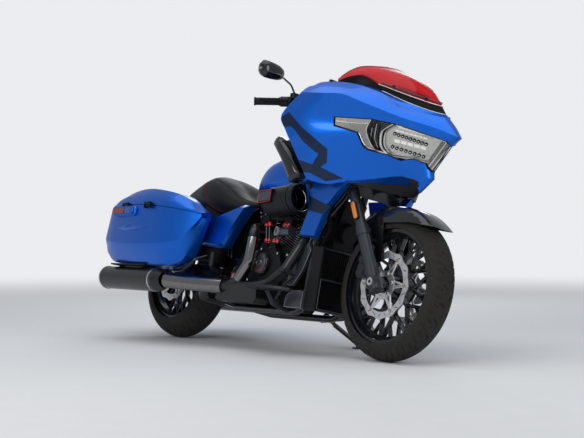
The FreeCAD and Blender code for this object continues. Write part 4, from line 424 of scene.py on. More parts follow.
def shrunk(outline, middle, share_x, share_z):
    """A side outline drawn in towards a middle."""
    return [(middle[0] + (x - middle[0]) * share_x, middle[1] + (z - middle[1]) * share_z)
            for x, z in outline]


def prism(outline, y_in, y_out, inset=0.0):
    """A side panel: an (x, z) outline from y_in out to y_out, its outer edge drawn in by a share."""
    middle = [sum(values) / len(outline) for values in zip(*outline)]
    levels = ((y_in, outline), (y_in + (y_out - y_in) * EDGE_START, outline),
              (y_out, shrunk(outline, middle, 1 - inset, 1 - inset)))
    return lofted([[Vector((x, y, z)) for x, z in drawn] for y, drawn in levels])


def outline_loop(outline, y, radius):
    """A thin rounded edge along a closed side outline."""
    places = [Vector((x, y, z)) for x, z in outline]
    ring = [p.lerp(q, k / 4) for p, q in zip(places, places[1:] + places[:1]) for k in range(4)]
    return cable(ring + ring[:1], radius, 6, 1)


def welded(mesh, source, distance, outward=True):
    """Fills a mesh from a source with its doubles merged; an own shell's faces are turned outwards,
    and a CAD solid's flat triangles are joined."""
    work = bmesh.new()
    work.from_mesh(source)
    bmesh.ops.remove_doubles(work, verts=work.verts, dist=distance)
    if outward:
        bmesh.ops.recalc_face_normals(work, faces=work.faces)
    else:
        bmesh.ops.dissolve_limit(work, angle_limit=math.radians(0.5), verts=work.verts, edges=work.edges)
    work.to_mesh(mesh)
    work.free()


def combined(first, second, operation):
    """What is left of the first closed shape after a cut, or what it shares with the second."""
    holders = []
    for points, faces in (first, second):
        mesh = bpy.data.meshes.new("cutting")
        mesh.from_pydata([tuple(p) for p in points], [], faces)
        welded(mesh, mesh, 0.01)
        holders.append(placed("cutting", mesh))
    cut = holders[0].modifiers.new("cut", "BOOLEAN")
    cut.operation = operation
    cut.solver = "EXACT"
    cut.object = holders[1]
    result = holders[0].evaluated_get(bpy.context.evaluated_depsgraph_get()).to_mesh()
    shape = [v.co.copy() for v in result.vertices], [tuple(f.vertices) for f in result.polygons]
    for holder in holders:
        bpy.data.objects.remove(holder)
    return shape


# Pieces

SOFT_EDGE_ANGLE = math.radians(34)
# Points of a mesh nearer than this, in metres, are one
WELD, CAD_WELD = 1e-5, 2e-5


def piece(name, shape, surface, crease=35.0, bevel=0.0, body="chassis"):
    """A finished object from a shape, riding a CAD body."""
    points, faces = shape
    mesh = bpy.data.meshes.new(name)
    mesh.from_pydata([tuple(UPRIGHT @ p) for p in points], [], faces)
    welded(mesh, mesh, WELD)
    return settled(name, mesh, surface, crease, bevel, body)


def settled(name, mesh, surface, crease=35.0, bevel=0.0, body="chassis"):
    """Links a mesh as a piece with its finish, shading, edge softening and body."""
    mesh.materials.clear()
    mesh.materials.append(surface if isinstance(surface, bpy.types.Material) else finish(surface))
    mesh.shade_smooth()
    mesh.set_sharp_from_angle(angle=math.radians(crease))
    made = placed(name, mesh)
    if bevel:
        soft = made.modifiers.new("soft_edges", "BEVEL")
        soft.width = bevel * MILLIMETRE
        soft.segments = 2
        soft.limit_method = "ANGLE"
        soft.angle_limit = SOFT_EDGE_ANGLE
    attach(made, body)
    return made


def dressed(node, surface, slot, crease=32.0, bevel=0.0, small=None, least=0.0):
    """A CAD node's own shape with soft edges and a finish; islands below a size take the second one."""
    source = NODES[node]
    mesh = bpy.data.meshes.new(node + "_look")
    welded(mesh, source.data, CAD_WELD, False)
    if "custom_normal" in mesh.attributes:
        mesh.attributes.remove(mesh.attributes["custom_normal"])
    made = settled(node + "_look", mesh, surface, crease, bevel, source["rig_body"])
    if small:
        mesh.materials.append(finish(small))
        shade_islands(mesh, least)
    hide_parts(node)


def shade_islands(mesh, least):
    """Gives a mesh's islands shorter than a length in metres its second material."""
    parent = list(range(len(mesh.vertices)))

    def root(k):
        while parent[k] != k:
            parent[k] = parent[parent[k]]
            k = parent[k]
        return k

    for edge in mesh.edges:
        parent[root(edge.vertices[0])] = root(edge.vertices[1])
    islands = {}
    for vertex in mesh.vertices:
        islands.setdefault(root(vertex.index), []).append(vertex.co)
    lengths = {key: Vector([max(along) - min(along) for along in zip(*places)]).length
               for key, places in islands.items()}
    for face in mesh.polygons:
        if lengths[root(face.vertices[0])] < least:
            face.material_index = 1


def stud_tree():
    """Round heads of one size on marked places, each turned to its facing, as Geometry Nodes."""
    tree = bpy.data.node_groups.new("studs", "GeometryNodeTree")
    sockets = {}
    for name, kind in (("Places", "NodeSocketGeometry"), ("Radius", "NodeSocketFloat"),
                       ("Height", "NodeSocketFloat"), ("Sides", "NodeSocketInt"),
                       ("Finish", "NodeSocketMaterial"), ("Studs", "NodeSocketGeometry")):
        in_out = "OUTPUT" if name == "Studs" else "INPUT"
        sockets[name] = tree.interface.new_socket(name, in_out=in_out, socket_type=kind).identifier
    start = grown(tree, "NodeGroupInput").outputs
    head = grown(tree, "GeometryNodeMeshCylinder",
                 {"Vertices": start["Sides"], "Radius": start["Radius"], "Depth": start["Height"]})
    facing = grown(tree, "GeometryNodeInputNamedAttribute", {"Name": "facing"}, data_type="FLOAT_VECTOR")
    size = grown(tree, "GeometryNodeInputNamedAttribute", {"Name": "size"}, data_type="FLOAT")
    turn = grown(tree, "FunctionNodeAlignRotationToVector", {"Vector": facing.outputs["Attribute"]}, axis="Z")
    repeat = grown(tree, "GeometryNodeInstanceOnPoints", {
        "Points": start["Places"], "Instance": head.outputs["Mesh"],
        "Rotation": turn.outputs["Rotation"], "Scale": size.outputs["Attribute"]})
    real = grown(tree, "GeometryNodeRealizeInstances", {"Geometry": repeat.outputs["Instances"]})
    dress = grown(tree, "GeometryNodeSetMaterial",
                  {"Geometry": real.outputs["Geometry"], "Material": start["Finish"]})
    grown(tree, "NodeGroupOutput", {"Studs": dress.outputs["Geometry"]})
    return tree, sockets


STUDS = stud_tree()


def studs(name, spots, radius, height, sides, surface):
    """Repeated round heads, one on each (point, facing, size), sunk to half their height."""
    tree, sockets = STUDS
    mesh = bpy.data.meshes.new(name)
    mesh.from_pydata([tuple(UPRIGHT @ p) for p, _, _ in spots], [], [])
    mesh.attributes.new("facing", "FLOAT_VECTOR", "POINT")
    mesh.attributes.new("size", "FLOAT", "POINT")
    for k, (_, out, scale) in enumerate(spots):
        mesh.attributes["facing"].data[k].vector = (UPRIGHT.to_3x3() @ out).normalized()
        mesh.attributes["size"].data[k].value = scale
    holder = placed(name, mesh)
    heads = holder.modifiers.new("studs", "NODES")
    heads.node_group = tree
    heads[sockets["Radius"]] = radius * MILLIMETRE
    heads[sockets["Height"]] = height * MILLIMETRE
    heads[sockets["Sides"]] = sides
    heads[sockets["Finish"]] = finish(surface)
    result = bpy.data.meshes.new_from_object(holder.evaluated_get(bpy.context.evaluated_depsgraph_get()))
    bpy.data.objects.remove(holder)
    settled(name, result, surface)


# node, finish, slot, crease, bevel in millimetres, second finish, length in metres below which it is used
DRESSED = (
    ("frame", "gloss_black", "frame_black", 40),
    ("swingarm", "gloss_black", "frame_black", 32, 2.0),
    ("rear_axle", "bright_steel", "steel"),
    ("rear_shocks", "dark_metal", "dark_metal", 40),
    ("drive_belt", "rubber", "rubber"),
    ("rear_caliper", "dark_metal", "dark_metal", 32, 1.5),
    ("crankcase", "wrinkle_black", "engine_black", 30, 2.5),
    ("cylinders", "wrinkle_black", "engine_black", 30),
    ("rocker_covers", "satin_black", "cover_black", 30, 2.5),
    ("primary_cover", "gloss_black", "engine_black", 30, 2.5),
    ("air_intake", "satin_black", "plastic", 36),
    ("exhaust_headers", "exhaust_black", "exhaust_black", 40),
    ("heat_shields", "smoked_chrome", "shield", 40),
    ("tank", "blue_paint", "paint", 40),
    ("side_covers", "blue_paint", "paint", 24, 3.0),
    ("battery_box", "plastic_black", "plastic", 30, 2.0),
    ("rear_fender", "blue_paint", "paint"),
    ("tail_lamps", "red_lens", "tail_red", 32, 1.5),
    ("plate_holder", "plastic_black", "plastic", 32, 1.5),
    ("saddlebags", "blue_paint", "paint", 24, 0, "satin_black", 0.25),
    ("bag_brackets", "gloss_black", "frame_black", 40),
    ("fairing_deck", "blue_paint", "plastic", 28),
    ("inner_fairing", "plastic_black", "plastic", 30),
    ("scoops", "blue_paint", "paint", 24, 2.0),
    ("radiator", "plastic_black", "engine_black", 30),
    ("engine_mounts", "panel_grey", "cover_grey", 26, 1.5),
    ("foot_controls", "dark_metal", "dark_metal", 34),
    ("right_lid", "blue_paint", "paint", 24, 0, "satin_black", 0.25),
    ("left_lid", "blue_paint", "paint", 24, 0, "satin_black", 0.25),
    ("side_stand", "gloss_black", "frame_black", 40),
    ("front_calipers", "dark_metal", "dark_metal", 32, 1.5),
    ("front_axle", "bright_steel", "steel"),
    ("fork_sliders", "fork_black", "fork_black", 36),
    ("fork_tubes", "fork_black", "fork_black", 36),
    ("triple_clamps", "fork_black", "fork_black", 32, 1.5),
    ("handlebar", "gloss_black", "dark_metal", 40),
    ("hand_controls", "satin_black", "plastic", 36),
    ("mirrors", "gloss_black", "plastic", 40),
    ("front_fender", "gloss_black", "plastic", 30),
    ("front_rim", "alloy_black", "alloy_black", 30, 1.2),
    ("rear_rim", "alloy_black", "alloy_black", 30, 1.2),
    ("front_discs", "machined", "steel", 30),
    ("rear_disc", "machined", "steel", 30),
    ("belt_pulley", "dark_metal", "dark_metal", 30),
)
DRESSED_LAST = (("pushrods", "gloss_black", "accent_red"), ("grips", "rubber", "rubber"))

# Wheels

WHEELS = (
    # name, centre, tyre's radius and width, rim's radius and width, half width at the lip, tread pitches
    ("front", FRONT_AXLE, 319.0, 130.0, 241.3, 89.0, 44.5, 27),
    ("rear", REAR_AXLE, 327.5, 180.0, 228.6, 127.0, 63.5, 25),
)
# Each groove's depth, and where it starts and ends on the way from the crown to the shoulder; first, none
GROOVES = ((0.0, 0.0, 1.0), (4.0, 0.10, 0.80), (3.0, 0.46, 0.93))
GROOVE_SLOPE = 0.05
# The grid's columns over one pitch: share of the pitch and groove
TREAD_COLUMNS = ((0.00, 0), (0.03, 1), (0.09, 1), (0.12, 0), (0.30, 0),
                 (0.48, 0), (0.51, 2), (0.56, 2), (0.59, 0), (0.80, 0))
CROWN_STEPS = 46
BEAD_ROOM, FLANGE_HEIGHT = 0.3, 15.5


def round_place(centre, turn, radius, left=0.0):
    """A place round a sideways axle, by its angle from ahead, its radius and how far left it is."""
    return centre + Vector((math.cos(turn), 0, math.sin(turn))) * radius + ACROSS * left


def groove_depth(groove, side):
    """How deep a groove is at a share of the way from the crown to the shoulder."""
    deep, near, far = GROOVES[groove]
    return deep * max(0.0, min(1.0, (side - near) / GROOVE_SLOPE, (far - side) / GROOVE_SLOPE))


def tyre(name, centre, radius, width, rim_radius, rim_width, pitches):
    """A tyre whose cross grooves are real: the grid's columns follow each groove across the tread."""
    half = width / 2
    shoulder = radius - half
    bead = rim_width / 2 - BEAD_ROOM
    flange = rim_radius + FLANGE_HEIGHT
    section = [(bead, flange - 3, 0), (bead + 10, flange + 3, 0),
               (half - 3, shoulder - 0.35 * (shoulder - rim_radius), 0)]
    for k in range(CROWN_STEPS + 1):
        turn = math.radians(6 + 168.0 * k / CROWN_STEPS)
        section.append((half * math.cos(turn), shoulder + half * math.sin(turn), 1))
    section += [(-y, r, 0) for y, r, _ in section[2::-1]]
    rings = []
    for pitch in range(pitches):
        for offset, groove in TREAD_COLUMNS:
            ring = []
            for y, r, treaded in section:
                side = abs(y) / half if treaded else 1.0
                swing = 0.55 * side + 0.16 * min(1.0, side / 0.3) * math.copysign(1, 0.45 - side)
                stagger = 0.5 * min(1.0, side / 0.12) if y > 0 else 0.0
                turn = 2 * math.pi * (pitch + offset + swing + stagger) / pitches
                reach = r - groove_depth(groove, side)
                ring.append(centre + Vector((-math.sin(turn) * reach, y, math.cos(turn) * reach)))
            rings.append(ring)
    skin = lofted(rings + rings[:1], caps=False, around=False)
    inside = [(bead, flange - 3), (bead, rim_radius + 0.4), (-bead, rim_radius + 0.4), (-bead, flange - 3)]
    made = piece(name + "_tyre_look", merged([skin, lathe(inside, centre, ACROSS, 96)]),
                 "tyre_rubber", 50, body=name + "_wheel")
    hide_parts(name + "_tyre")


def rim_lip_highlight(centre, radius, half):
    """A lighter grey band on the edge of a rim's flange on both sides: a painted highlight along the flange.
    """
    profile = [(half - 2, radius), (half + 0.6, radius + 1), (half + 0.9, radius + 3.5),
               (half - 2, radius + 4.5)]
    return merged([lathe([(side * along, r) for along, r in profile], centre, ACROSS, 96, closed=True)
                   for side in (-1, 1)])


def disc_fittings(name, centre, discs):
    """The brass floating buttons and the bolts on each disc's carrier, from (offset, radius) pairs."""
    buttons, bolts = [], []
    for offset, radius in discs:
        out = math.copysign(1, offset) * ACROSS
        for k in range(6):
            turn = math.radians(60 * k)
            buttons.append(lathe([(-4.0, 3), (-4.0, 7), (4.0, 7), (4.0, 3)],
                                 round_place(centre, turn, radius - 28, offset), out, 20, False, True))
            bolts.append(boss(round_place(centre, turn + 0.2, 50, offset) + out * 4, out, 6.5, 5, 1, 12))
    piece(name + "_disc_buttons", merged(buttons), "brass", body=name + "_wheel")
    piece(name + "_disc_bolts", merged(bolts), "bright_steel", body=name + "_wheel")


def wheels():
    """Both tyres, the discs' fittings, the painted highlight bands on the rims' lips and the valves."""
    for name, centre, radius, width, rim_radius, rim_width, _, pitches in WHEELS:
        tyre(name, centre, radius, width, rim_radius, rim_width, pitches)
    disc_fittings("front", FRONT_AXLE, ((-68.0, 150.0), (68.0, 150.0)))
    disc_fittings("rear", REAR_AXLE, ((-92.0, 146.0),))
    for name, centre, _, _, rim_radius, _, half, _ in WHEELS:
        stem = round_place(centre, 1.1, rim_radius - 28)
        inward = (centre - stem).normalized()
        valve = [cable([stem, stem + inward * 16, stem + inward * 26 - ACROSS * 6], 3.2),
                 boss(stem + inward * 24 - ACROSS * 4, inward - ACROSS * 0.2, 4.2, 10)]
        # Painted highlight: a lighter grey band along each rim's flange
        piece(name + "_rim_lip_highlight", rim_lip_highlight(centre, rim_radius + 11.0, half), "smoke_grey",
              body=name + "_wheel")
        piece(name + "_valve", merged(valve), "bright_steel", body=name + "_wheel")


# Exhaust

MUFFLER_END = Vector((-286.0, -330.0, 256.0))
# (along, radius) from the muffler's rear end
MUFFLER_PROFILES = (
    [(15, 57), (16, 60), (505, 60), (506, 59)],
    [(517, 59), (522, 60), (540, 58), (566, 49), (590, 41)],
    [(14, 59), (8, 55), (2, 48), (0, 42), (1, 37), (6, 34), (40, 33), (60, 33)],
)
BAND_PROFILE = ((0, 59), (0, 61.5), (2, 62), (7, 62), (9, 61.5), (9, 59))
BAND_STARTS = (14, 507)


def mufflers():
    """Each muffler's satin can, its domed tip, a black disc of painted shade deep in its outlet, and its two
    bright bands.
    """
    cans = [lathe(profile, MUFFLER_END, AHEAD, 64) for profile in MUFFLER_PROFILES]
    bands = [lathe([(start + a, r) for a, r in BAND_PROFILE], MUFFLER_END, AHEAD, 64)
             for start in BAND_STARTS]
    body = piece("muffler_cans", both(merged(cans)), "exhaust_black")
    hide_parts("mufflers")
    piece("muffler_bands", both(merged(bands)), "bright_steel")
    # Painted shade: a black disc deep in each outlet stands in for the shade inside the pipe
    piece("muffler_outlet_shade", both(lathe([(58, 33.5), (60, 0.2)], MUFFLER_END, AHEAD, 32)),
          "deep_black")


# Seat

SEAT_TABLE = (
    # x, half width, underside, crown, squareness, hollow
    (-14, 66, 716, 738, 2.3, 0), (20, 98, 706, 776, 2.5, 0), (90, 122, 702, 796, 2.5, 0),
    (160, 140, 690, 822, 2.4, 0), (220, 156, 672, 846, 2.3, 0), (284, 168, 652, 860, 2.3, 6),
    (344, 176, 634, 850, 2.4, 22), (410, 178, 622, 828, 2.5, 40), (470, 168, 622, 790, 2.5, 44),
    (536, 146, 632, 744, 2.5, 30), (596, 116, 654, 718, 2.4, 6), (644, 84, 676, 710, 2.4, 0),
    (680, 50, 692, 706, 2.2, 0))
SEAT_START, SEAT_LENGTH, SEAT_STEPS, SEAT_SIDES = -13.5, 693.0, 116, 72
PAD_END = 231
# The side piping's course: x and angle from the crown
PIPING = ((264, 90), (272, 106), (290, 121), (312, 126), (335, 129), (395, 133), (457, 137))
STITCHES, STITCH_START, STITCH_PITCH = 58, 274, 6.4


def fuller(value, power):
    """A sine or cosine made fuller, so that a circle turns into a rounded square."""
    return math.copysign(abs(value) ** power, value)


def seat_row(x):
    """The seat's section values at x, along smooth curves."""
    rows = SEAT_TABLE
    i = max(k for k in range(len(rows) - 1) if rows[k][0] <= x)
    b, c = rows[i], rows[i + 1]
    a = rows[i - 1] if i else [2 * p - q for p, q in zip(b, c)]
    d = rows[i + 2] if i + 2 < len(rows) else [2 * q - p for p, q in zip(b, c)]
    t = (x - b[0]) / (c[0] - b[0])
    return [between(p, q, r, s, t) for p, q, r, s in zip(a, b, c, d)]


def seat_point(x, turn, raised=0.0):
    """A point of the seat's skin: turn is 0 at the left edge, 90 at the crown and 180 at the right edge."""
    _, wide, low, high, power, hollow = seat_row(x)
    y = fuller(math.cos(math.radians(turn)), 2 / power)
    z = fuller(math.sin(math.radians(turn)), 2 / power)
    dip = hollow * (1 - abs(y)) * max(z, 0)
    crown = 1.0 + 0.004 * math.sin(math.radians(2 * turn))
    return Vector((x, y * (wide + raised) * crown, (low + high) / 2 + z * ((high - low) / 2 + raised) - dip))


def rear_seam(side):
    """Where the seam behind the rider runs, by the angle from the crown."""
    return 236 + 0.5 * max(0, side - 40)


def side_seam(x):
    """The side seams' angle from the crown."""
    return 52 + 0.02 * (x - 300)


def seam_depth(x, turn):
    """How far the stitched seams pull the cover in."""
    side = abs(90 - turn)
    seams = ((x - rear_seam(side), side < 88, 6.0, 9.0), (side - side_seam(x), x > 262, 3.2, 3.0))
    return max([deep * math.exp(-(away / wide) ** 2) for away, there, wide, deep in seams if there] + [0.0])


def seat():
    """The padded seat: its cover with pulled seams, the red piping and the stitches beside the side seams."""
    turns = [360.0 * k / SEAT_SIDES for k in range(SEAT_SIDES)]
    rings = []
    for i in range(SEAT_STEPS + 1):
        x = SEAT_START + SEAT_LENGTH * i / SEAT_STEPS
        rings.append([seat_point(x, t, -seam_depth(x, t) if t <= 180 else 0.0) for t in turns])
    cover = piece("seat_cover", lofted(rings), "leather", 60)
    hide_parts("seat")
    cover.data.materials.append(finish("pad_leather"))
    for face in cover.data.polygons:
        if (TO_UPRIGHT @ face.center).x < PAD_END:
            face.material_index = 1
    lines, stitches = [], []
    for side in (-1, 1):
        line = [seat_point(rear_seam(t), 90 + side * t, 0.4) for t in range(62, 86, 4)]
        line += [seat_point(x, 90 + side * t, 0.5) for x, t in PIPING]
        lines.append(cable(line, 1.3, 6, 3))
        for n in range(STITCHES):
            x = STITCH_START + STITCH_PITCH * n
            turn = 90 + side * (side_seam(x) - 5)
            stitch = [seat_point(x + run, turn, out) for run, out in ((0, -0.6), (1.8, 0.7), (3.6, -0.6))]
            stitches.append(cable(stitch, 0.55, 5, 2))
    piece("seat_piping", merged(lines), "red_thread")
    piece("seat_stitches", merged(stitches), "leather")


# Fairing and headlamp

FAIRING_LEVELS = (
    # Each row runs from the rear edge to the nose: x, half width, height
    ((1254, 290, 746), (1361, 260, 727), (1452, 198, 752), (1538, 137, 772),
     (1622, 77, 794), (1656, 48, 788), (1680, 25, 770), (1690, 0, 733)),
    ((1256, 292, 752), (1362, 262, 734), (1453, 200, 758), (1540, 138, 778),
     (1630, 76, 801), (1680, 44, 800), (1724, 22, 798), (1764, 0, 792)),
    ((1226, 366, 872), (1330, 345, 876), (1407, 300, 874), (1511, 215, 864),
     (1592, 140, 860), (1650, 96, 862), (1715, 44, 864), (1742, 0, 848)),
    ((1186, 396, 950), (1320, 366, 942), (1425, 314, 940), (1510, 258, 935),
     (1600, 190, 925), (1680, 128, 915), (1756, 60, 908), (1800, 0, 905)),
    ((1156, 408, 1020), (1310, 382, 1012), (1431, 320, 1004), (1510, 272, 1003),
     (1600, 212, 1000), (1690, 148, 985), (1788, 64, 956), (1850, 0, 944)),
    ((1246, 386, 1122), (1392, 382, 1104), (1481, 346, 1101), (1540, 298, 1080),
     (1601, 244, 1057), (1690, 164, 1025), (1790, 76, 1000), (1885, 0, 964)),
    ((1268, 342, 1166), (1329, 332, 1176), (1407, 288, 1179), (1479, 243, 1168),
     (1573, 183, 1135), (1642, 143, 1088), (1728, 76, 1066), (1799, 0, 1056)))
LAMP_MIDDLE = Vector((1633.5, -152.25, 923.083))
LAMP_OUT = Vector((0.53115, -0.73453, -0.42231))
LAMP_SIDE = Vector((0.81033, 0.58597, 0.0))
LAMP_RISE = Vector((0.24746, -0.34221, 0.90645))
LAMP_WINDOW = (
    (-263, 89), (-99, 94), (14, 82), (232, 29), (258, 7), (240, -27), (192, -112), (179, -110), (159, -96),
    (151, -78), (96, -61), (42, -74), (0, -61), (-20, -55), (-105, -42), (-129, -28), (-158, 29), (-263, 50))
BAND = (
    # The navy band's corners on the plane y = -390, seen from the photographer's place
    (1134, 1015), (1185, 1034), (1294, 956), (1499, 842), (1510, 781), (1473, 765), (1635, 707), (1521, 700),
    (1410, 741), (1353, 749), (1313, 806), (1412, 780), (1443, 826), (1417, 835), (1317, 890), (1253, 943),
    (1215, 965), (1160, 967))
SCREEN_ROWS = (
    ((1304, 226, 1184), (1352, 216, 1194), (1420, 192, 1192), (1500, 158, 1170),
     (1584, 118, 1134), (1658, 80, 1104), (1730, 40, 1080), (1784, 0, 1068)),
    ((1297, 230, 1208), (1352, 214, 1234), (1418, 194, 1248), (1476, 158, 1254),
     (1536, 116, 1244), (1592, 72, 1230), (1632, 34, 1216), (1656, 0, 1204)),
    ((1294, 230, 1224), (1336, 208, 1262), (1376, 180, 1286), (1402, 130, 1300),
     (1420, 80, 1310), (1428, 40, 1315), (1431, 16, 1317), (1432, 0, 1317)))


def round_nose(level):
    """A smooth row from a level's right end, round the nose, to its left end."""
    right = [Vector((x, -w, z)) for x, w, z in level]
    return curved(right + [across(p) for p in right[-2::-1]], 6)


def thickened(grid, depth):
    """A panel: a grid of points with a second skin behind it."""
    rows, columns = len(grid), len(grid[0])
    rings = []
    for i, front in enumerate(grid):
        back = []
        for j in range(columns):
            along = grid[min(i + 1, rows - 1)][j] - grid[max(i - 1, 0)][j]
            over = front[min(j + 1, columns - 1)] - front[max(j - 1, 0)]
            back.append(front[j] + along.cross(over).normalized() * depth)
        rings.append(front + back[::-1])
    return lofted(rings)


def fairing_grid():
    """The outer skin's points: creased along the lamp's sill and the brow, rounded between them."""
    columns = []
    for chin, keel, sill, middle, waist, brow, top in zip(*[round_nose(level) for level in FAIRING_LEVELS]):
        outward = math.copysign(CREST_RISE, brow.y) if abs(brow.y) > 1 else 0
        crest = (brow + top) * 0.5 + Vector((0, outward, CREST_RISE))
        columns.append([chin, keel] + curved([sill, middle, waist, brow], 4)[:-1]
                       + curved([brow, crest, top], 3))
    return [list(row) for row in zip(*columns)]


# The room to the right of the machine's middle plane
RIGHT_ROOM = (900, -700, 500), (2100, -3, 1400)
SKIN = 3.0
CREST_RISE = 3.0
# How far a lamp's wall lies behind the skin at its front, and its depth and share of size at its back
HOUSING_FRONT = (5, 8)
HOUSING_BACK = ((54, 0.93), (57, 0.95))


def beam(outline, near, far):
    """A prism through the outline along the photographer's lines of sight, kept to the machine's right."""
    rings = [[p + (EYE - p).normalized() * reach for p in outline] for reach in (near, far)]
    return combined(lofted(rings), box(*RIGHT_ROOM), "INTERSECT")


def lamp_at(along, rise, deep):
    """A point of the lamp unit by its place on the window's plane and its depth behind it."""
    return LAMP_MIDDLE + LAMP_SIDE * along + LAMP_RISE * rise - LAMP_OUT * deep


def window_edge(grid, window):
    """Where the window's outline, seen from the photographer's place, meets the fairing's skin."""
    tree = BVHTree.FromPolygons(*lofted(grid, False, False))
    edge = []
    for p, q in zip(window, window[1:] + window[:1]):
        for k in range(4):
            spot = p + (q - p) * (k / 4)
            hit = tree.ray_cast(EYE, (spot - EYE).normalized())[0]
            if hit is not None and hit.y < -4:
                edge.append(hit)
    return edge


def lamp_housing(edge):
    """A lamp's wall, from the window's edge back to a smaller ring behind the lamp unit."""
    outer = [[p + (p - EYE).normalized() * deep for p in edge] for deep in HOUSING_FRONT]
    middle = sum(edge, Vector()) / len(edge)
    lift = (middle - LAMP_MIDDLE).dot(LAMP_OUT)
    backs = []
    for deep, share in HOUSING_BACK:
        flat = [p - LAMP_OUT * (p - LAMP_MIDDLE).dot(LAMP_OUT) for p in edge]
        backs.append([middle + (p - middle) * share - LAMP_OUT * (deep + lift) for p in flat])
    return lofted([backs[0], *outer, backs[1]])


def fairing():
    """The fairing's shell with its lamp windows, its navy band, the lamps' gaskets and clear covers."""
    grid = fairing_grid()
    window = [lamp_at(a, b, 0) for a, b in LAMP_WINDOW]
    opening = both(beam(window, 90, -110))
    skin = thickened(grid, SKIN)
    body = combined(skin, opening, "DIFFERENCE")
    band = both(beam([Vector((x, -390, z)) for x, z in BAND], 80, -380))
    shell = piece("fairing_shell", combined(body, band, "DIFFERENCE"), "blue_paint", 20)
    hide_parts("fairing")
    piece("fairing_band", combined(body, band, "INTERSECT"), "navy_paint", 20)
    edge = window_edge(grid, window)
    gasket = cable([p - (EYE - p).normalized() * 0.5 for p in edge + edge[:1]], 2.0, 6, 1)
    piece("lamp_gaskets", both(gasket), "deep_black")
    piece("lamp_covers", combined(skin, opening, "INTERSECT"), clear_cover(), 20)
    housing = piece("lamp_housings", both(lamp_housing(edge)), "smoked_chrome", 30)
    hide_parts("headlamp")


# The lamp unit's own parts, by their places on the window's plane; bars give radius and depth first

WING = ((-259, 85), (-101, 90), (-118, 46), (-102, -4), (-74, -40), (-22, -53), (-104, -40), (-126, -27),
        (-155, 29), (-259, 53))
BEZEL_RIM = ((-101, 91), (-118, 46), (-102, -4), (-74, -40), (-21, -54))
BEZEL_INNER = ((-75, 86), (-108, 35), (-89, -18), (-58, -41), (-16, -52))
RECESS = ((-104, 84), (-6, 78), (-50, 26), (-48, -26), (-18, -52), (-60, -38), (-90, -16), (-108, 34))
REFLECTOR = ((6, 72), (226, 18), (160, -88), (-20, -56), (-38, -24), (-42, 18), (-28, 44))
WING_RIBS = (
    (2.2, 6, (-255, 70), (-180, 68), (-112, 72)), (2.6, 5, *BEZEL_RIM),
    (1.6, 6, (-152, 30), (-124, -22), (-100, -36), (-24, -50)))
DARK_BARS = ((4.5, 27, (-87, 55), (-92, 10), (-79, -31)), (4.5, 27, (-68, 66), (-75, 12), (-60, -33)))
BRIGHT_BARS = (
    (1.8, 24, (-96, 62), (-101, 12), (-86, -28)), (1.8, 24, (-77, 70), (-84, 10), (-68, -33)),
    (5.0, 13, (-4, 78), (-44, 48), (-55, 20), (-50, -26), (-19, -55)),
    (3.0, 17, (6, 72), (-30, 44), (-40, 16), (-36, -22), (-12, -50)),
    (3.6, 14, (231, 20), (164, -89)), (3.6, 10, (250, 5), (176, -100)),
    (3.0, 18, (-24, -60), (60, -66), (157, -75)), (3.0, 18, (10, 76), (120, 50), (229, 21)))
# start, end, count, width and height of the cells
WARM_ROWS = (((16, 66), (165, 40), 10, 11, 9), ((176, 34), (214, 26), 2, 14, 14))
BRIGHT_ROWS = (((4, 50), (146, 25), 7, 17, 6), ((0, 6), (146, -18), 5, 24, 13))
CUP_ROWS = (((-6, 36), (150, -1), 9), ((-14, -22), (144, -56), 8))
CELL_FRONT, CELL_BACK = 24, 31


def lamp_slab(outline, front, back):
    """A flat part of the lamp unit between two depths."""
    return lofted([[lamp_at(a, b, deep) for a, b in outline] for deep in (front, back)])


def lamp_bars(bars):
    """Round bars along places of the lamp unit."""
    return merged([cable([lamp_at(a, b, deep) for a, b in places], radius, 8, 5)
                   for radius, deep, *places in bars])


def shared(start, end, count):
    """The middles of equal parts of a line from one place to another."""
    shares = [(k + 0.5) / count for k in range(count)]
    return [(start[0] + (end[0] - start[0]) * s, start[1] + (end[1] - start[1]) * s) for s in shares]


def lamp_rows(rows):
    """Rows of small blocks along lines of the lamp unit."""
    blocks = []
    for start, end, count, wide, high in rows:
        lean = (end[1] - start[1]) / (end[0] - start[0]) * wide / 2
        for a, b in shared(start, end, count):
            corners = [(a + x * wide / 2, b + z * high / 2 + x * lean)
                       for x, z in ((-1, -1), (1, -1), (1, 1), (-1, 1))]
            blocks.append(lamp_slab(corners, CELL_FRONT, CELL_BACK))
    return merged(blocks)


def lamps():
    """The lamp units' own parts: the wing light, the dark bezel, the lens and the rows of cells."""
    bezel = [[lamp_at(a + shift, b, deep) for a, b in outline] for outline, shift, deep in (
        (BEZEL_RIM, 0, 6), (BEZEL_INNER, 0, 22), (BEZEL_INNER, 0, 26), (BEZEL_RIM, -2, 8))]
    recess = merged([lamp_bars(DARK_BARS), lamp_slab(RECESS, 36, 42)])
    for name, shape, surface, crease, bevel in (
            ("lamp_wings", lamp_slab(WING, 8, 14), "lens_grey", 30, 1.0),
            ("lamp_wing_ribs", lamp_bars(WING_RIBS), "reflector", 35, 0),
            ("lamp_bezels", lofted(bezel, False, False), "dark_metal", 40, 0),
            ("lamp_recess", recess, "gloss_black", 35, 0),
            ("lamp_rims", lamp_bars(BRIGHT_BARS), "reflector", 35, 0),
            ("lamp_reflectors", lamp_slab(REFLECTOR, CELL_BACK, 36), "lamp_chrome", 30, 1.0),
            ("lamp_warm_cells", lamp_rows(WARM_ROWS), "lens_warm", 30, 0.8),
            ("lamp_bright_cells", lamp_rows(BRIGHT_ROWS), "lens_white", 30, 0.8)):
        piece(name, both(shape), surface, crease, bevel)
    cups = []
    for start, end, count in CUP_ROWS:
        for a, b in shared(start, end, count):
            spot = lamp_at(a, b, CELL_BACK)
            cups += [(spot, LAMP_OUT, 1.0), (across(spot), across(LAMP_OUT), 1.0)]
    studs("lamp_cups", cups, 8.0, 9.0, 12, "deep_black")
    studs("lamp_cup_hearts", lifted(cups, 4.2), 3.0, 3.0, 10, "reflector")


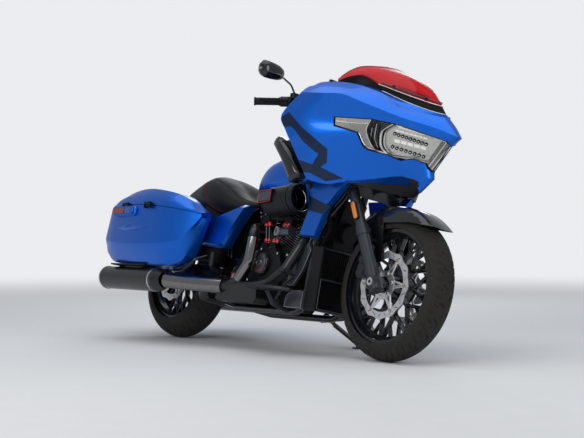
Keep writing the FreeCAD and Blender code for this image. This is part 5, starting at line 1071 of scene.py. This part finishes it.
def lifted(spots, height):
    """The same spots moved out along their facings."""
    return [(spot + out * height, out, size) for spot, out, size in spots]


# Screen

# How far up the smoked foot reaches, by column from the right end to the middle
SMOKED = (1.25, 0.98, 0.80, 0.32, 0.38, 0.40, 0.40, 0.36)


def screen_grid():
    """The screen's outer points, half a millimetre above its CAD face."""
    columns = [curved(list(column), 5) for column in zip(*[round_nose(level) for level in SCREEN_ROWS])]
    return [[p + UP * 0.5 for p in row] for row in zip(*columns)]


def screen_spot(grid, along, rise, out):
    """A point of the screen by column (0 at the right end, 7 at the middle) and rise (0 foot, 2 top)."""
    a, b = min(along * 6, len(grid[0]) - 1.001), min(rise * 5, len(grid) - 1.001)
    i, j = int(b), int(a)
    low = grid[i][j].lerp(grid[i][j + 1], a - j)
    high = grid[i + 1][j].lerp(grid[i + 1][j + 1], a - j)
    run, climb = grid[i][j + 1] - grid[i][j], grid[i + 1][j] - grid[i][j]
    return low.lerp(high, b - i) - climb.cross(run).normalized() * out


def screen_line(grid, first, last, out, steps=12):
    """Points of the screen between two (column, rise) places, out from its face."""
    return [screen_spot(grid, first[0] + (last[0] - first[0]) * k / steps,
                        first[1] + (last[1] - first[1]) * k / steps, out) for k in range(steps + 1)]


def smoke_values(mesh, grid):
    """For each vertex of the screen, how far it is above the smoked foot: 0.5 is where red begins."""
    tree = KDTree(len(grid) * len(grid[0]))
    for k, p in enumerate(p for row in grid for p in row):
        tree.insert(p, k)
    tree.balance()
    values = []
    for vertex in mesh.vertices:
        i, j = divmod(tree.find(TO_UPRIGHT @ vertex.co)[1], len(grid[0]))
        column = 7 - abs(j / 6 - 7)
        k = min(6, int(column))
        edge = SMOKED[k] + (SMOKED[k + 1] - SMOKED[k]) * (column - k)
        values.append(0.5 + (i / 5 - edge) * 0.5)
    return values


def windscreen():
    """The short tinted screen over a dark vent, with its frame lines, ribbed strip and clips."""
    grid = screen_grid()
    made = piece("windscreen_look", thickened(grid, 3.6), tinted_screen(), 60)
    rise = made.data.attributes.new("rise", "FLOAT", "POINT")
    rise.data.foreach_set("value", smoke_values(made.data, grid))
    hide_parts("windscreen")
    for name, surface, lines in (
            ("vent_frames", "machined", (((3.0, 0.30), (7.0, 0.34), 2.0, 1.7),
                                         ((3.2, 0.02), (7.0, 0.03), 2.0, 1.7))),
            ("screen_edges", "gloss_black", (((3.2, 0.42), (7.0, 0.46), 1.6, 2.4),
                                             ((0.3, 1.98), (7.0, 1.98), 0.4, 1.6)))):
        tubes = [cable(screen_line(grid, first, last, out), radius, 6, 2)
                 for first, last, out, radius in lines]
        piece(name, both(merged(tubes)), surface)
    vent = [screen_line(grid, (3.2, 0.04 + 0.26 * i / 3), (7.0, 0.04 + 0.26 * i / 3), 0.6, 16)
            for i in range(4)]
    piece("vent_mesh", both(thickened(vent, 1.5)), "deep_black", 60)
    ribs = [cable(screen_line(grid, (4.2 + 0.12 * k, 0.44), (4.2 + 0.12 * k, 0.56), 2.6, 1), 1.4, 5, 1)
            for k in range(16)]
    piece("vent_ribs", both(merged(ribs)), "satin_black")
    clips = [lathe([(-7, 4), (-5, 6), (5, 6), (7, 4)], screen_spot(grid, column, 0.46, 5), ACROSS, 14, True)
             for column in (3.9, 5.9)]
    piece("screen_clips", both(merged(clips)), "gloss_black")


# Engine

# A row of fins: the lowest above the crank, pitch, count, half length and half width
FIN_ROWS = ((138, 11.0, 9, 46, 78), (244, 12.0, 6, 54, 86))
FIN_EDGE = ((-1.0, -0.2), (0.5, -0.2), (0.5, 3.2), (-1.0, 3.2))
CYLINDER_LEAN = math.radians(22.5)
# (along, radius) of the red collars, and how far before the foot and the head they start
FOOT_COLLAR, FOOT_BACK = [(-1, 12.4), (0, 13.2), (15, 13.2), (17, 12.0), (17, 9)], 10
HEAD_COLLAR, HEAD_BACK = [(0, 11), (1, 12.6), (28, 12.6), (30, 11.6)], 33
TIMER = Vector((852, -172, 384))
TIMER_PLATE = [(-2, 46), (1.5, 46), (3.5, 43), (3.5, 30), (2.2, 29), (2.2, 0.2)]
TIMER_RING = [(0, 46), (2.5, 47.5), (2.5, 51), (0, 52)]
MOUTH, INTAKE_END = Vector((1146, -214, 680)), Vector((892, -206, 664))
CAM_COVER = ((742, 300), (790, 232), (930, 226), (992, 262), (1000, 352), (962, 440), (892, 470), (822, 462),
             (758, 404))
GEARBOX_BOLTS = ((626, 284), (672, 284), (672, 356), (626, 356))
BUTTON = Vector((1004, -128, 430))


def leaned(x, y, up, side):
    """A place on a cylinder: forward, left and up its axis from the crank; side is 1 for the front one."""
    turn = CYLINDER_LEAN * side
    return CRANK + Vector((x * math.cos(turn) + up * math.sin(turn), y,
                           up * math.cos(turn) - x * math.sin(turn)))


def fin_edges():
    """The bright machined edges of the cylinders' and heads' fins."""
    fins = []
    for side in (-1, 1):
        rows = [(start + pitch * k, half, y) for start, pitch, count, half, y in FIN_ROWS
                for k in range(count)]
        for low, half, y in rows:
            for face in (-1, 1):
                fins.append(lofted([[leaned(x, face * (y + out), low + up, side) for out, up in FIN_EDGE]
                                    for x in (-half, half)]))
            for end in (-1, 1):
                corner = [leaned(end * half, -y, low + 1.5, side),
                          leaned(end * (half + 17), -(y - 20), low + 1.5, side)]
                fins.append(cable(corner, 1.9, 5, 1))
    return merged(fins)


def pushrod_collars():
    """The red collars at both ends of the pushrods' tubes."""
    collars = []
    for side in (-1, 1):
        for k in (0, 1):
            foot = Vector((CRANK.x + side * (22 + 24 * k), -128, 498))
            head = Vector((CRANK.x + side * (72 + 26 * k), -106, 598))
            run = (head - foot).normalized()
            collars += [lathe(FOOT_COLLAR, foot - run * FOOT_BACK, run, 24, True),
                        lathe(HEAD_COLLAR, head - run * HEAD_BACK, run, 24, True)]
    return merged(collars)


def engine_trim():
    """Bright fin edges, red collars, the timer cover, the canister's ring and the heads' bolts."""
    piece("fin_edges", fin_edges(), "machined")
    piece("pushrod_collars", pushrod_collars(), "red_enamel")
    arc = [round_place(TIMER, math.radians(-150 + 12 * k), 36, -3.8) for k in range(13)]
    oval = [TIMER + Vector((math.cos(t) * 19 - 3, -3.0, math.sin(t) * 11 + 2))
            for t in [math.radians(20 * k) for k in range(19)]]
    piece("timer_plate", lathe(TIMER_PLATE, TIMER, -ACROSS, 48), "panel_grey")
    piece("timer_ring", lathe(TIMER_RING, TIMER + ACROSS * 4, -ACROSS, 48, closed=True),
          "dark_chrome")
    piece("timer_line", cable(arc, 1.5, 6, 1), "red_enamel")
    piece("timer_oval", cable(oval, 1.4, 6, 1), "machined")
    spots = [(round_place(TIMER, math.radians(72 * k + 20), 52, 9), -ACROSS, 1.0) for k in range(5)]
    spots += [(Vector((x, -151, z)), -ACROSS, 1.1) for x, z in shrunk(CAM_COVER, (868, 350), 0.93, 0.93)]
    spots += [(Vector((x, -151, z)), -ACROSS, 0.9) for x, z in GEARBOX_BOLTS]
    spots += [(leaned(x, -84, up, side), -ACROSS, 0.9)
              for side in (-1, 1) for x in (-56, -20, 20, 56) for up in (330, 352)]
    studs("engine_bolts", spots, 5.0, 6.0, 6, "bright_steel")
    # Painted shade: a black disc on each bolt head stands in for the shade inside its socket
    studs("engine_bolt_socket_shade", lifted(spots, 2.6), 2.4, 1.2, 6, "deep_black")
    ring = lathe([(-4, 15), (-4, 21), (0, 23), (8, 23), (8, 15)], Vector((984, -196, 530)),
                 Vector((-0.30, -0.95, 0.06)), 32, closed=True)
    can = lathe([(0, 18), (30, 18)], Vector((988, -190, 530)), Vector((0.3, 0.95, -0.06)), 32, True)
    piece("canister_ring", ring, "lens_grey")
    piece("canister_heart", can, "deep_black")
    button = lathe([(0, 15), (4, 15), (7, 13), (7, 8), (4, 7)], BUTTON, -ACROSS, 28)
    piece("side_button", button, "satin_black")
    piece("side_button_bolt", boss(BUTTON, -ACROSS, 6, 7, 2, 20), "bright_steel")


def intake_trim():
    """The intake's bright mouth rings, its clamps and the blank badge plate in a thin red frame."""
    run = (INTAKE_END - MOUTH).normalized()
    profiles = [[(1, 58.5), (-1, 60.5), (-1, 62.5), (3, 63)]]
    profiles += [[(a, r + 1.5), (a - 1.5, r), (a, r - 1.5), (a + 1.5, r)] for a, r in ((36, 54), (96, 49))]
    rings = [lathe(profile, MOUTH, run, 56, closed=True) for profile in profiles]
    piece("intake_rings", merged(rings), "bright_steel")
    clamp = lathe([(30, 68), (30, 70.5), (44, 70.5), (44, 68)], MOUTH, run, 56, closed=True)
    piece("intake_clamp", clamp, "satin_black")
    plate = prism([(922, 652), (1006, 660), (1006, 702), (922, 696)], -287, -290.5, 0.02)
    piece("badge_plate", plate, "panel_grey", 30, 0.6)
    frame_line = outline_loop([(918, 647), (1010, 655), (1010, 707), (918, 701)], -289, 1.5)
    piece("badge_frame", frame_line, "red_enamel")


def cover_trim():
    """Bright loops on the grey covers' edges as painted highlights, the blank gearbox plate and the
    radiator's frame lines.
    """
    leaf = [(1172, 492), (1188, 452), (1150, 360), (1094, 288), (1056, 286), (1052, 320), (1094, 420),
            (1140, 480)]
    foot = [(1098, 182), (1220, 182), (1220, 262), (1130, 262), (1098, 232)]
    # Painted highlights: bright loops along the grey covers' outlines stand in for the highlights on their
    # edges
    lines = [outline_loop(shrunk(leaf, (1122, 388), 0.97, 0.97), -143.2, 1.8),
             outline_loop(shrunk(foot, (1155, 222), 0.96, 0.94), -176, 1.6)]
    piece("cover_edge_highlights", both(merged(lines)), "dark_chrome")
    plate = prism([(612, 300), (668, 300), (664, 330), (616, 330)], -149, -153, 0.05)
    piece("gearbox_plate", plate, "lens_grey", 30, 0.8)
    frame_line = outline_loop([(607, 295), (673, 295), (668, 335), (612, 335)], -151, 1.5)
    piece("gearbox_frame", frame_line, "red_enamel")
    grille = [[(1292, y, z) for y in (-146, -70, 0, 70, 146)] for z in (322, 188, 460)]
    grille += [[(1296, y, z) for z in (186, 260, 324)] for y in (-148, 148)]
    piece("radiator_lines", merged([cable(line, 2.2, 6, 2) for line in grille]), "smoke_grey")
    weave = [box((1277, -144 + 9 * k, 193), (1279.5, -142.6 + 9 * k, 318)) for k in range(32)]
    weave += [box((1277.5, -144, 196 + 9 * k), (1280, 144, 197.4 + 9 * k)) for k in range(14)]
    piece("radiator_mesh", merged(weave), "satin_black")


# Tank, scoops, neck and pods

FILLER = Vector((872, 66, 1100))
SCOOP_STRIPE = ((1197, 690), (1363, 636), (1325, 600), (1203, 623))
# Dark sheets near the machine's middle: partly the black inner parts, partly painted shade between them
NECK_SHADE_FILL = ((1128, 470), (1206, 470), (1238, 560), (1238, 700), (1180, 722), (1128, 640))
REAR_SHADE_FILL = ((470, 420), (604, 430), (640, 560), (520, 584), (470, 520))
HOSES = (((1196, -70, 716), (1222, -92, 660), (1232, -98, 580), (1214, -96, 500), (1196, -88, 452)),
         ((1180, -74, 700), (1196, -96, 640), (1246, -108, 570), (1240, -120, 500), (1214, -116, 462)),
         ((1150, -70, 640), (1196, -132, 560), (1226, -140, 500), (1216, -130, 470)))
# The pods' middle line; how full, half wide and half deep they are, and how much that grows to the foot
POD_PATH = ((1034, -306, 932), (1078, -312, 902), (1128, -306, 850), (1166, -296, 796), (1194, -282, 744))
POD_FULLNESS, POD_END, POD_WIDE, POD_WIDER, POD_DEEP, POD_DEEPER = 0.7, 0.55, 27, 16, 30, 6


def fuel_cap():
    """The round cap over the filler, square to the tank's skin and ringed like a screwed plug."""
    tank = NODES["tank"].data
    tree = BVHTree.FromPolygons([TO_UPRIGHT @ v.co for v in tank.vertices],
                                [tuple(f.vertices) for f in tank.polygons])
    rim = []
    for turn in [math.radians(45 + 90 * k) for k in range(4)]:
        above = FILLER + Vector((math.cos(turn), math.sin(turn), 0)) * 50
        rim.append(tree.ray_cast(above, -UP)[0])
    out = (rim[2] - rim[0]).cross(rim[3] - rim[1]).normalized()
    out *= math.copysign(1, out.z)
    plug = [(-6, 43), (3, 43), (6, 41), (6, 36), (4, 35), (4, 14), (7, 13), (7, 0.5)]
    cap = piece("fuel_cap_look", lathe(plug, sum(rim, Vector()) / 4, out, 48, True),
                "gloss_black", 30)
    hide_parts("fuel_cap")


def scoop_trim():
    """The navy stripes across the scoops."""
    piece("scoop_stripes", both(prism(SCOOP_STRIPE, -209, -212.8)), "navy_paint", 30)


def neck_trim():
    """Dark sheets near the middle behind the engine and the neck, standing in for black inner parts and
    painted shade between them, with the hoses and wires that run down the neck.
    """
    shade_fills = merged([prism(NECK_SHADE_FILL, -54, -62, 0.03), prism(REAR_SHADE_FILL, -56, -64, 0.03)])
    piece("neck_shade_fills", both(shade_fills), "satin_black", 30, 1.0)
    piece("neck_hoses", both(merged([cable(hose, 6.5, 8, 6) for hose in HOSES])), "rubber")
    wires = [[(1200, -66 - 8 * k, 712 - 6 * k), (1228 + 4 * k, -90 - 6 * k, 640),
              (1206 + 6 * k, -104, 540 + 8 * k), (1188, -96 - 4 * k, 470)] for k in range(4)]
    piece("neck_wires", both(merged([cable(wire, 2.2, 6, 6) for wire in wires])), "plastic_black")
    clips = [(Vector((1231, -98, z)), Vector((1, -0.3, 0)), 1.0) for z in (600, 560)]
    clips += [(Vector((1222, -112, 520)), Vector((0.6, -1, 0)), 0.8),
              (Vector((1190, -64, 610)), -ACROSS, 1.4)]
    studs("neck_bolts", clips, 6.0, 8.0, 6, "bright_steel")


def pods():
    """The curved gloss pods in the gap between the fairing and the tank."""
    path = curved([Vector(p) for p in POD_PATH], 5)
    rings = []
    for i, p in enumerate(path):
        share = i / (len(path) - 1)
        run = (path[min(i + 1, len(path) - 1)] - path[max(i - 1, 0)]).normalized()
        over = ACROSS.cross(run).normalized()
        small = POD_END if share in (0, 1) else 1.0
        wide = over * (POD_WIDE + POD_WIDER * share) * small
        deep = ACROSS * (POD_DEEP + POD_DEEPER * share) * small
        turns = [2 * math.pi * k / 24 for k in range(24)]
        rings.append([p + wide * fuller(math.cos(t), POD_FULLNESS) + deep * fuller(math.sin(t), POD_FULLNESS)
                      for t in turns])
    piece("pods", both(lofted(rings)), "gloss_black", 50)


# Bags and fork

LATCH = ((-180, 584), (-168, 574), (40, 572), (54, 584), (50, 612), (34, 624), (-172, 624), (-184, 612))
LATCH_LENS = ((-174, 584), (-62, 583), (-60, 614), (-174, 615))
LEVER = ((-42, 582), (30, 580), (42, 590), (38, 608), (26, 616), (-42, 617))
# A dark sheet under the seat closing the gap between bag, seat and side cover: the seat's black base, and
# painted shade behind it
SEAT_GAP_FILL = ((190, 622), (440, 590), (440, 668), (200, 712))
# The outline of a bag's side ridge and the line of its crest
RIDGE = ((-127, -413, 506), (-33, -419, 521), (60, -421, 527), (176, -417, 513), (60, -421, 498),
         (-33, -419, 496))
RIDGE_TOP = ((-100, -417, 507), (-20, -430, 508), (60, -433, 509), (120, -425, 511), (60, -433, 507),
         (-20, -430, 506))
FORK_LEAN = math.radians(29.25)
# From the front axle: up the fork, out to its side and ahead of it
REFLECTOR_UP, REFLECTOR_OUT, REFLECTOR_AHEAD = 352, 152, 8


def bag_trim():
    """Each bag's painted latch with its lever and lens, its side ridge, and the dark tray under it."""
    piece("bag_latches", both(prism(LATCH, -404, -430, 0.05)), "blue_paint", 24, 2.0)
    piece("bag_latch_lenses", both(prism(LATCH_LENS, -429, -432.5, 0.04)), "reflector_red",
          24, 1.0)
    piece("bag_levers", both(prism(LEVER, -428, -437, 0.12)), "blue_paint", 30, 2.0)
    # Painted shade: thin black loops round each lever and lens stand in for the shade in the gap round them
    gap_shade = merged([outline_loop(LEVER, -430.2, 1.6), outline_loop(LATCH_LENS, -430.2, 1.2)])
    piece("bag_lever_gap_shade", both(gap_shade), "deep_black")
    ridge, crest = ([Vector(p) for p in places] for places in (RIDGE, RIDGE_TOP))
    base = [p + ACROSS * 14 for p in ridge]
    piece("bag_ridges", both(lofted([base, ridge, crest])), "blue_paint", 16)
    trays = merged([box((-186, -380, 319.5), (150, -284, 327)), box((-180, -330, 316), (-140, -286, 322)),
                    box((70, -340, 316), (110, -286, 322))])
    piece("bag_trays", both(trays), "satin_black", 30, 1.0)
    # Painted shade under the seat, together with the seat's black base
    piece("seat_gap_shade", both(prism(SEAT_GAP_FILL, -92, -100, 0.02)), "satin_black", 30, 1.0)


def fork_trim():
    """Amber reflectors on the fork legs' sides, each on its dark plate."""
    along = Vector((-math.sin(FORK_LEAN), 0, math.cos(FORK_LEAN)))
    ahead = Vector((math.cos(FORK_LEAN), 0, math.sin(FORK_LEAN)))
    face = FRONT_AXLE + along * REFLECTOR_UP - ACROSS * REFLECTOR_OUT + ahead * REFLECTOR_AHEAD
    for name, wide, long, deep, surface in (("fork_reflector_backs", 14, 46, 6, "satin_black"),
                                            ("fork_reflectors", 11, 42, 10, "amber")):
        ring = []
        for k in range(28):
            turn = 2 * math.pi * k / 28
            shift = (long - wide) * math.copysign(1, math.sin(turn))
            ring.append((math.cos(turn) * wide, math.sin(turn) * wide + shift))
        rows = [[face + ahead * a * share + along * b * share - ACROSS * d for a, b in ring]
                for d, share in ((-6, 1.0), (deep - 2.5, 1.0), (deep, 0.86))]
        piece(name, both(lofted(rows)), surface, 40, body="steering")


place_camera()
light_scene()
for row in DRESSED:
    dressed(*row)
for make in (wheels, mufflers, seat, fairing, lamps, windscreen, engine_trim, intake_trim, cover_trim,
             fuel_cap, scoop_trim, neck_trim, pods, bag_trim, fork_trim):
    make()
for row in DRESSED_LAST:
    dressed(*row)
lay_floor()
bpy.context.scene.view_settings.view_transform = "Standard"
